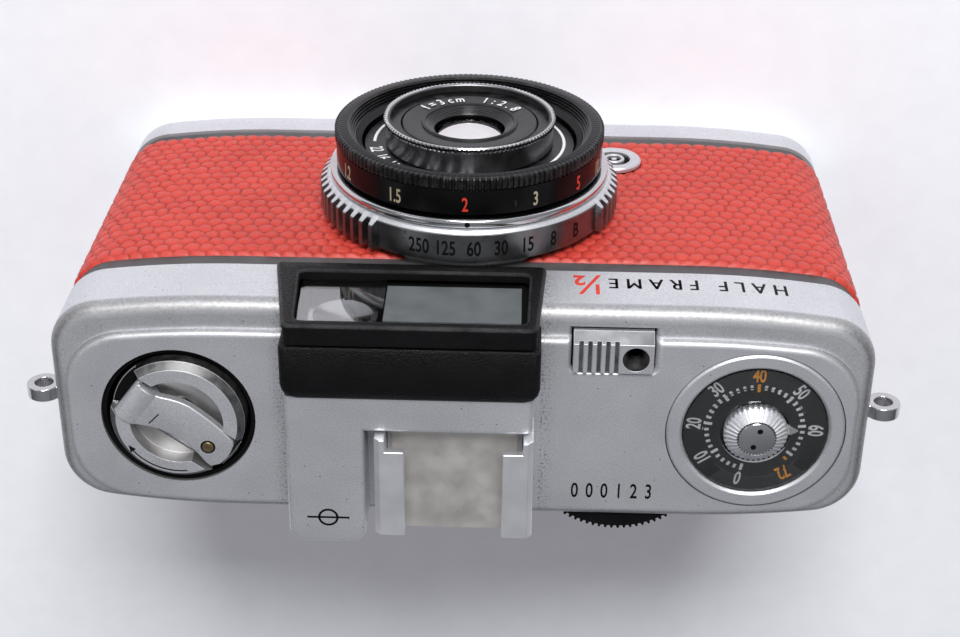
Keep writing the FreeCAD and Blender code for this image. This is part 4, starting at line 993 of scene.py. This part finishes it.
def make_socket():
    """Flash socket: bright plate, black insulator, metal sleeve and centre pin."""
    def place(radius, angle, level):
        return (SOCKET[0] - radius * math.sin(angle), level, SOCKET[1] + radius * math.cos(angle))

    plate = [(2.42, -14.55, 0), (4.0, -14.55, 0), (4.0, -15.0, 0), (3.8, -15.22, 0), (2.6, -15.25, 0),
             (2.42, -15.15, 0)]
    insulator = [(0.0, -14.5, 1), (2.4, -14.5, 1), (2.4, -14.75, 1), (0.0, -14.75, 1)]
    sleeve = [(1.05, -14.6, 0), (1.55, -14.6, 0), (1.55, -15.15, 0), (1.45, -15.25, 0), (1.15, -15.25, 0),
              (1.05, -15.15, 0)]
    pin = [(0.0, -14.6, 0), (0.42, -14.6, 0), (0.42, -15.1, 0), (0.25, -15.2, 0), (0.0, -15.2, 0)]
    shape = Shape()
    for profile, count in ((plate, 96), (insulator, 64), (sleeve, 64), (pin, 32)):
        lathe(shape, place, profile, even_turns(count))
    build("flash_socket", shape, "body", ["satin_chrome", "deep_black"], ["sync_socket"], "steel")


def cover_level(y):
    """Height of the top cover's outside at a depth y near the raised plate's rounded front edge."""
    if y <= PLATE_FRONT:
        return SHOULDER_Z
    down = min(PLATE_EDGE, max(0.0, PLATE_FRONT + PLATE_EDGE - y))
    return PLATE_Z - PLATE_EDGE + math.sqrt(PLATE_EDGE ** 2 - down ** 2)


def opening_path(x, rear, radius):
    """The release bar's opening from one front end round the back to the other."""
    side = [OPENING_Y[0], PLATE_FRONT - 0.01, PLATE_FRONT + 0.01, -10.45, -10.2, -9.75]
    left = [(x[0], y) for y in side]
    corner = [(x[0] + radius * (1 - math.cos(a)), rear - radius * (1 - math.sin(a)))
              for a in (math.pi / 2 * step / 8 for step in range(9))]
    half = left + corner
    return half + [(x[0] + x[1] - u, v) for u, v in reversed(half)]


def make_button_lip():
    """Rounded edge of the cover that turns down into the release bar's opening."""
    outer = opening_path(OPENING_X, OPENING_Y[1], OPENING_R)
    inner = opening_path((-25.15, -14.25), -5.8, 0.7)
    rings = []
    for (u0, v0), (u1, v1) in zip(outer, inner):
        level = cover_level(v0)
        ring = []
        for step in range(7):
            a = math.pi / 2 * step / 6
            share = math.sin(a)
            ring.append((u0 + (u1 - u0) * share, v0 + (v1 - v0) * share, level - 0.8 * (1 - math.cos(a))))
        rings.append(ring + [(u1, v1, level - 1.3), (u0, v0, level - 1.3)])
    shape = Shape()
    loft(shape, rings, [0] * (len(rings) - 1), closed=False)
    build("button_lip", shape, "body", ["satin_chrome"], smooth=45)


def make_spring():
    """Return spring of the release bar at its shortest, so that the pressed bar rests on it."""
    mesh = NODES["button_spring"].data.copy()
    mesh.name = "button_spring_short"
    foot = min(vertex.co.z for vertex in mesh.vertices)
    for vertex in mesh.vertices:
        vertex.co.z = foot + (vertex.co.z - foot) * SPRING_SHARE
    mesh.materials.clear()
    mesh.materials.append(MATERIALS["steel"])
    link("button_spring_short", mesh, BODY_OF["button_spring"], SLOT_OF["button_spring"], ["button_spring"])


def on_release_bar(centre, normal):
    """Material of the release bar: satin top, bright nose, darker chrome on the grooves' floors and on the
    threaded hole's wall.
    """
    away = math.hypot(centre.x - RELEASE_HOLE[0], centre.y - RELEASE_HOLE[1])
    in_hole = away < 1.9 and abs(normal.z) < 0.95 and centre.z < 62.9
    in_groove = normal.z > 0.9 and 62.3 < centre.z < 62.7
    if in_hole or in_groove:
        return 1
    return 2 if normal.y < -0.3 and normal.z > 0.3 else 0


make_socket()
make_button_lip()
make_spring()
polished("shoe_rails", 0.16, ["rail_chrome"])
polished("shoe_floor", 0.06)
polished("shutter_button", 0.1, ["satin_chrome", "dark_chrome", "bright_chrome"], on_release_bar, edge=0)
polished("strap_lugs", 0.2, ["bright_chrome"])
# the wind wheel gets a darker black, a painted shade
polished("wind_wheel", 0.1, ["wheel_black_shaded"])
polished("lock_handle", 0.12)
polished("lock_disc", 0.15)

FINISH_OF = {"top_cover": "cover_chrome", "counter_dial": "dial_black", "counter_pointer": "pointer_grey",
             "rewind_well": "deep_black", "button_guide": "deep_black", "viewfinder_window": "window_glass",
             "viewfinder_objective": "objective_glass", "viewfinder_housing": "deep_black"}
for node_name, material in FINISH_OF.items():
    NODES[node_name].data.materials[0] = MATERIALS[material]


# ---------------------------------------------------------------- the table, the light and the camera
CAMERA_PLACE, CAMERA_AIM, CAMERA_ROLL = (-6.41, -123.4, 257.9), (-1.96, -0.86, 40.0), -176.9
SKY_COLOUR = (0.93, 0.95, 1.0, 1)


def make_floor():
    """A large pale sheet under the camera that curves up far behind it."""
    half, back, height, bend, level = 2.0, 2.5, 2.0, 0.8, -0.00005
    profile = [(-3.0, level), (back - bend, level)]
    for step in range(1, 13):
        turn = step / 12 * math.pi / 2
        profile.append((back - bend + bend * math.sin(turn), level + bend - bend * math.cos(turn)))
    profile.append((back, height))
    vertices = [(x, y, z) for y, z in profile for x in (-half, half)]
    faces = [(2 * i, 2 * i + 1, 2 * i + 3, 2 * i + 2) for i in range(len(profile) - 1)]
    mesh = bpy.data.meshes.new("floor")
    mesh.from_pydata(vertices, [], faces)
    mesh.shade_smooth()
    mesh.materials.append(
        painted("floor_white", (0.86, 0.872, 0.915), (0.89, 0.902, 0.945), 0.6, 0.7, 3.0, 0.01))
    floor = bpy.data.objects.new("floor", mesh)
    bpy.context.scene.collection.objects.link(floor)


def add_light(name, place, aim, size, power):
    """A rectangular soft light at place that shines at aim, both in metres."""
    data = bpy.data.lights.new(name, "AREA")
    data.shape = "RECTANGLE"
    data.size, data.size_y = size
    data.energy = power
    light = bpy.data.objects.new(name, data)
    light.location = place
    light.rotation_euler = (Vector(aim) - Vector(place)).to_track_quat("-Z", "Y").to_euler()
    bpy.context.scene.collection.objects.link(light)


def make_camera():
    """Looks steeply down from in front of the lens side, and is rolled nearly upside down."""
    data = bpy.data.cameras.new("camera")
    data.sensor_width = 36.0
    data.lens = 65.9
    data.clip_start = 0.01
    camera = bpy.data.objects.new("camera", data)
    place, aim = mm(*CAMERA_PLACE), mm(*CAMERA_AIM)
    camera.location = place
    turn = (aim - place).to_track_quat("-Z", "Y") @ Quaternion((0, 0, 1), math.radians(CAMERA_ROLL))
    camera.rotation_euler = turn.to_euler()
    bpy.context.scene.collection.objects.link(camera)
    bpy.context.scene.camera = camera


def ramp_by_direction(tree, direction, stops):
    """Brightness of the sky by how close it is to a direction: stops are (cosine, brightness)."""
    place = tree.nodes.new("ShaderNodeTexCoord").outputs["Generated"]
    dot = tree.nodes.new("ShaderNodeVectorMath")
    dot.operation = "DOT_PRODUCT"
    dot.inputs[1].default_value = Vector(direction).normalized()
    tree.links.new(place, dot.inputs[0])
    curve = tree.nodes.new("ShaderNodeFloatCurve")
    points = curve.mapping.curves[0].points
    while len(points) < len(stops):
        points.new(0.5, 0.5)
    half = tree.nodes.new("ShaderNodeMapRange")
    half.inputs["From Min"].default_value = -1
    tree.links.new(dot.outputs["Value"], half.inputs["Value"])
    for point, (cosine, brightness) in zip(points, stops):
        point.location = ((cosine + 1) / 2, brightness)
        point.handle_type = "VECTOR"
    curve.mapping.update()
    tree.links.new(half.outputs["Result"], curve.inputs["Value"])
    return curve.outputs["Value"]


def make_world():
    """Studio sky: bright on the lens side, dim behind, dark round the viewpoint."""
    world = bpy.data.worlds.new("studio")
    world.use_nodes = True
    tree = world.node_tree
    tree.nodes["Background"].inputs["Color"].default_value = SKY_COLOUR
    wide = ramp_by_direction(tree, (0, -0.6, 0.8),
                             [(-1.0, 0.04), (-0.5, 0.05), (0.35, 0.28), (0.8, 0.46), (1.0, 0.6)])
    shade = ramp_by_direction(tree, (-0.02, -0.49, 0.87),
                              [(-1.0, 1.0), (0.84, 1.0), (0.95, 0.2), (1.0, 0.06)])
    both = tree.nodes.new("ShaderNodeMath")
    both.operation = "MULTIPLY"
    tree.links.new(wide, both.inputs[0])
    tree.links.new(shade, both.inputs[1])
    tree.links.new(both.outputs[0], tree.nodes["Background"].inputs["Strength"])
    bpy.context.scene.world = world


make_floor()
make_camera()
make_world()
add_light("key", (-0.06, -0.9, 0.8), (0, -0.06, 0.0), (0.5, 0.35), 14.8)
add_light("side", (0.9, -0.5, 0.9), (0, -0.15, 0), (0.5, 0.5), 1.0)
bpy.context.scene.view_settings.view_transform = "Standard"
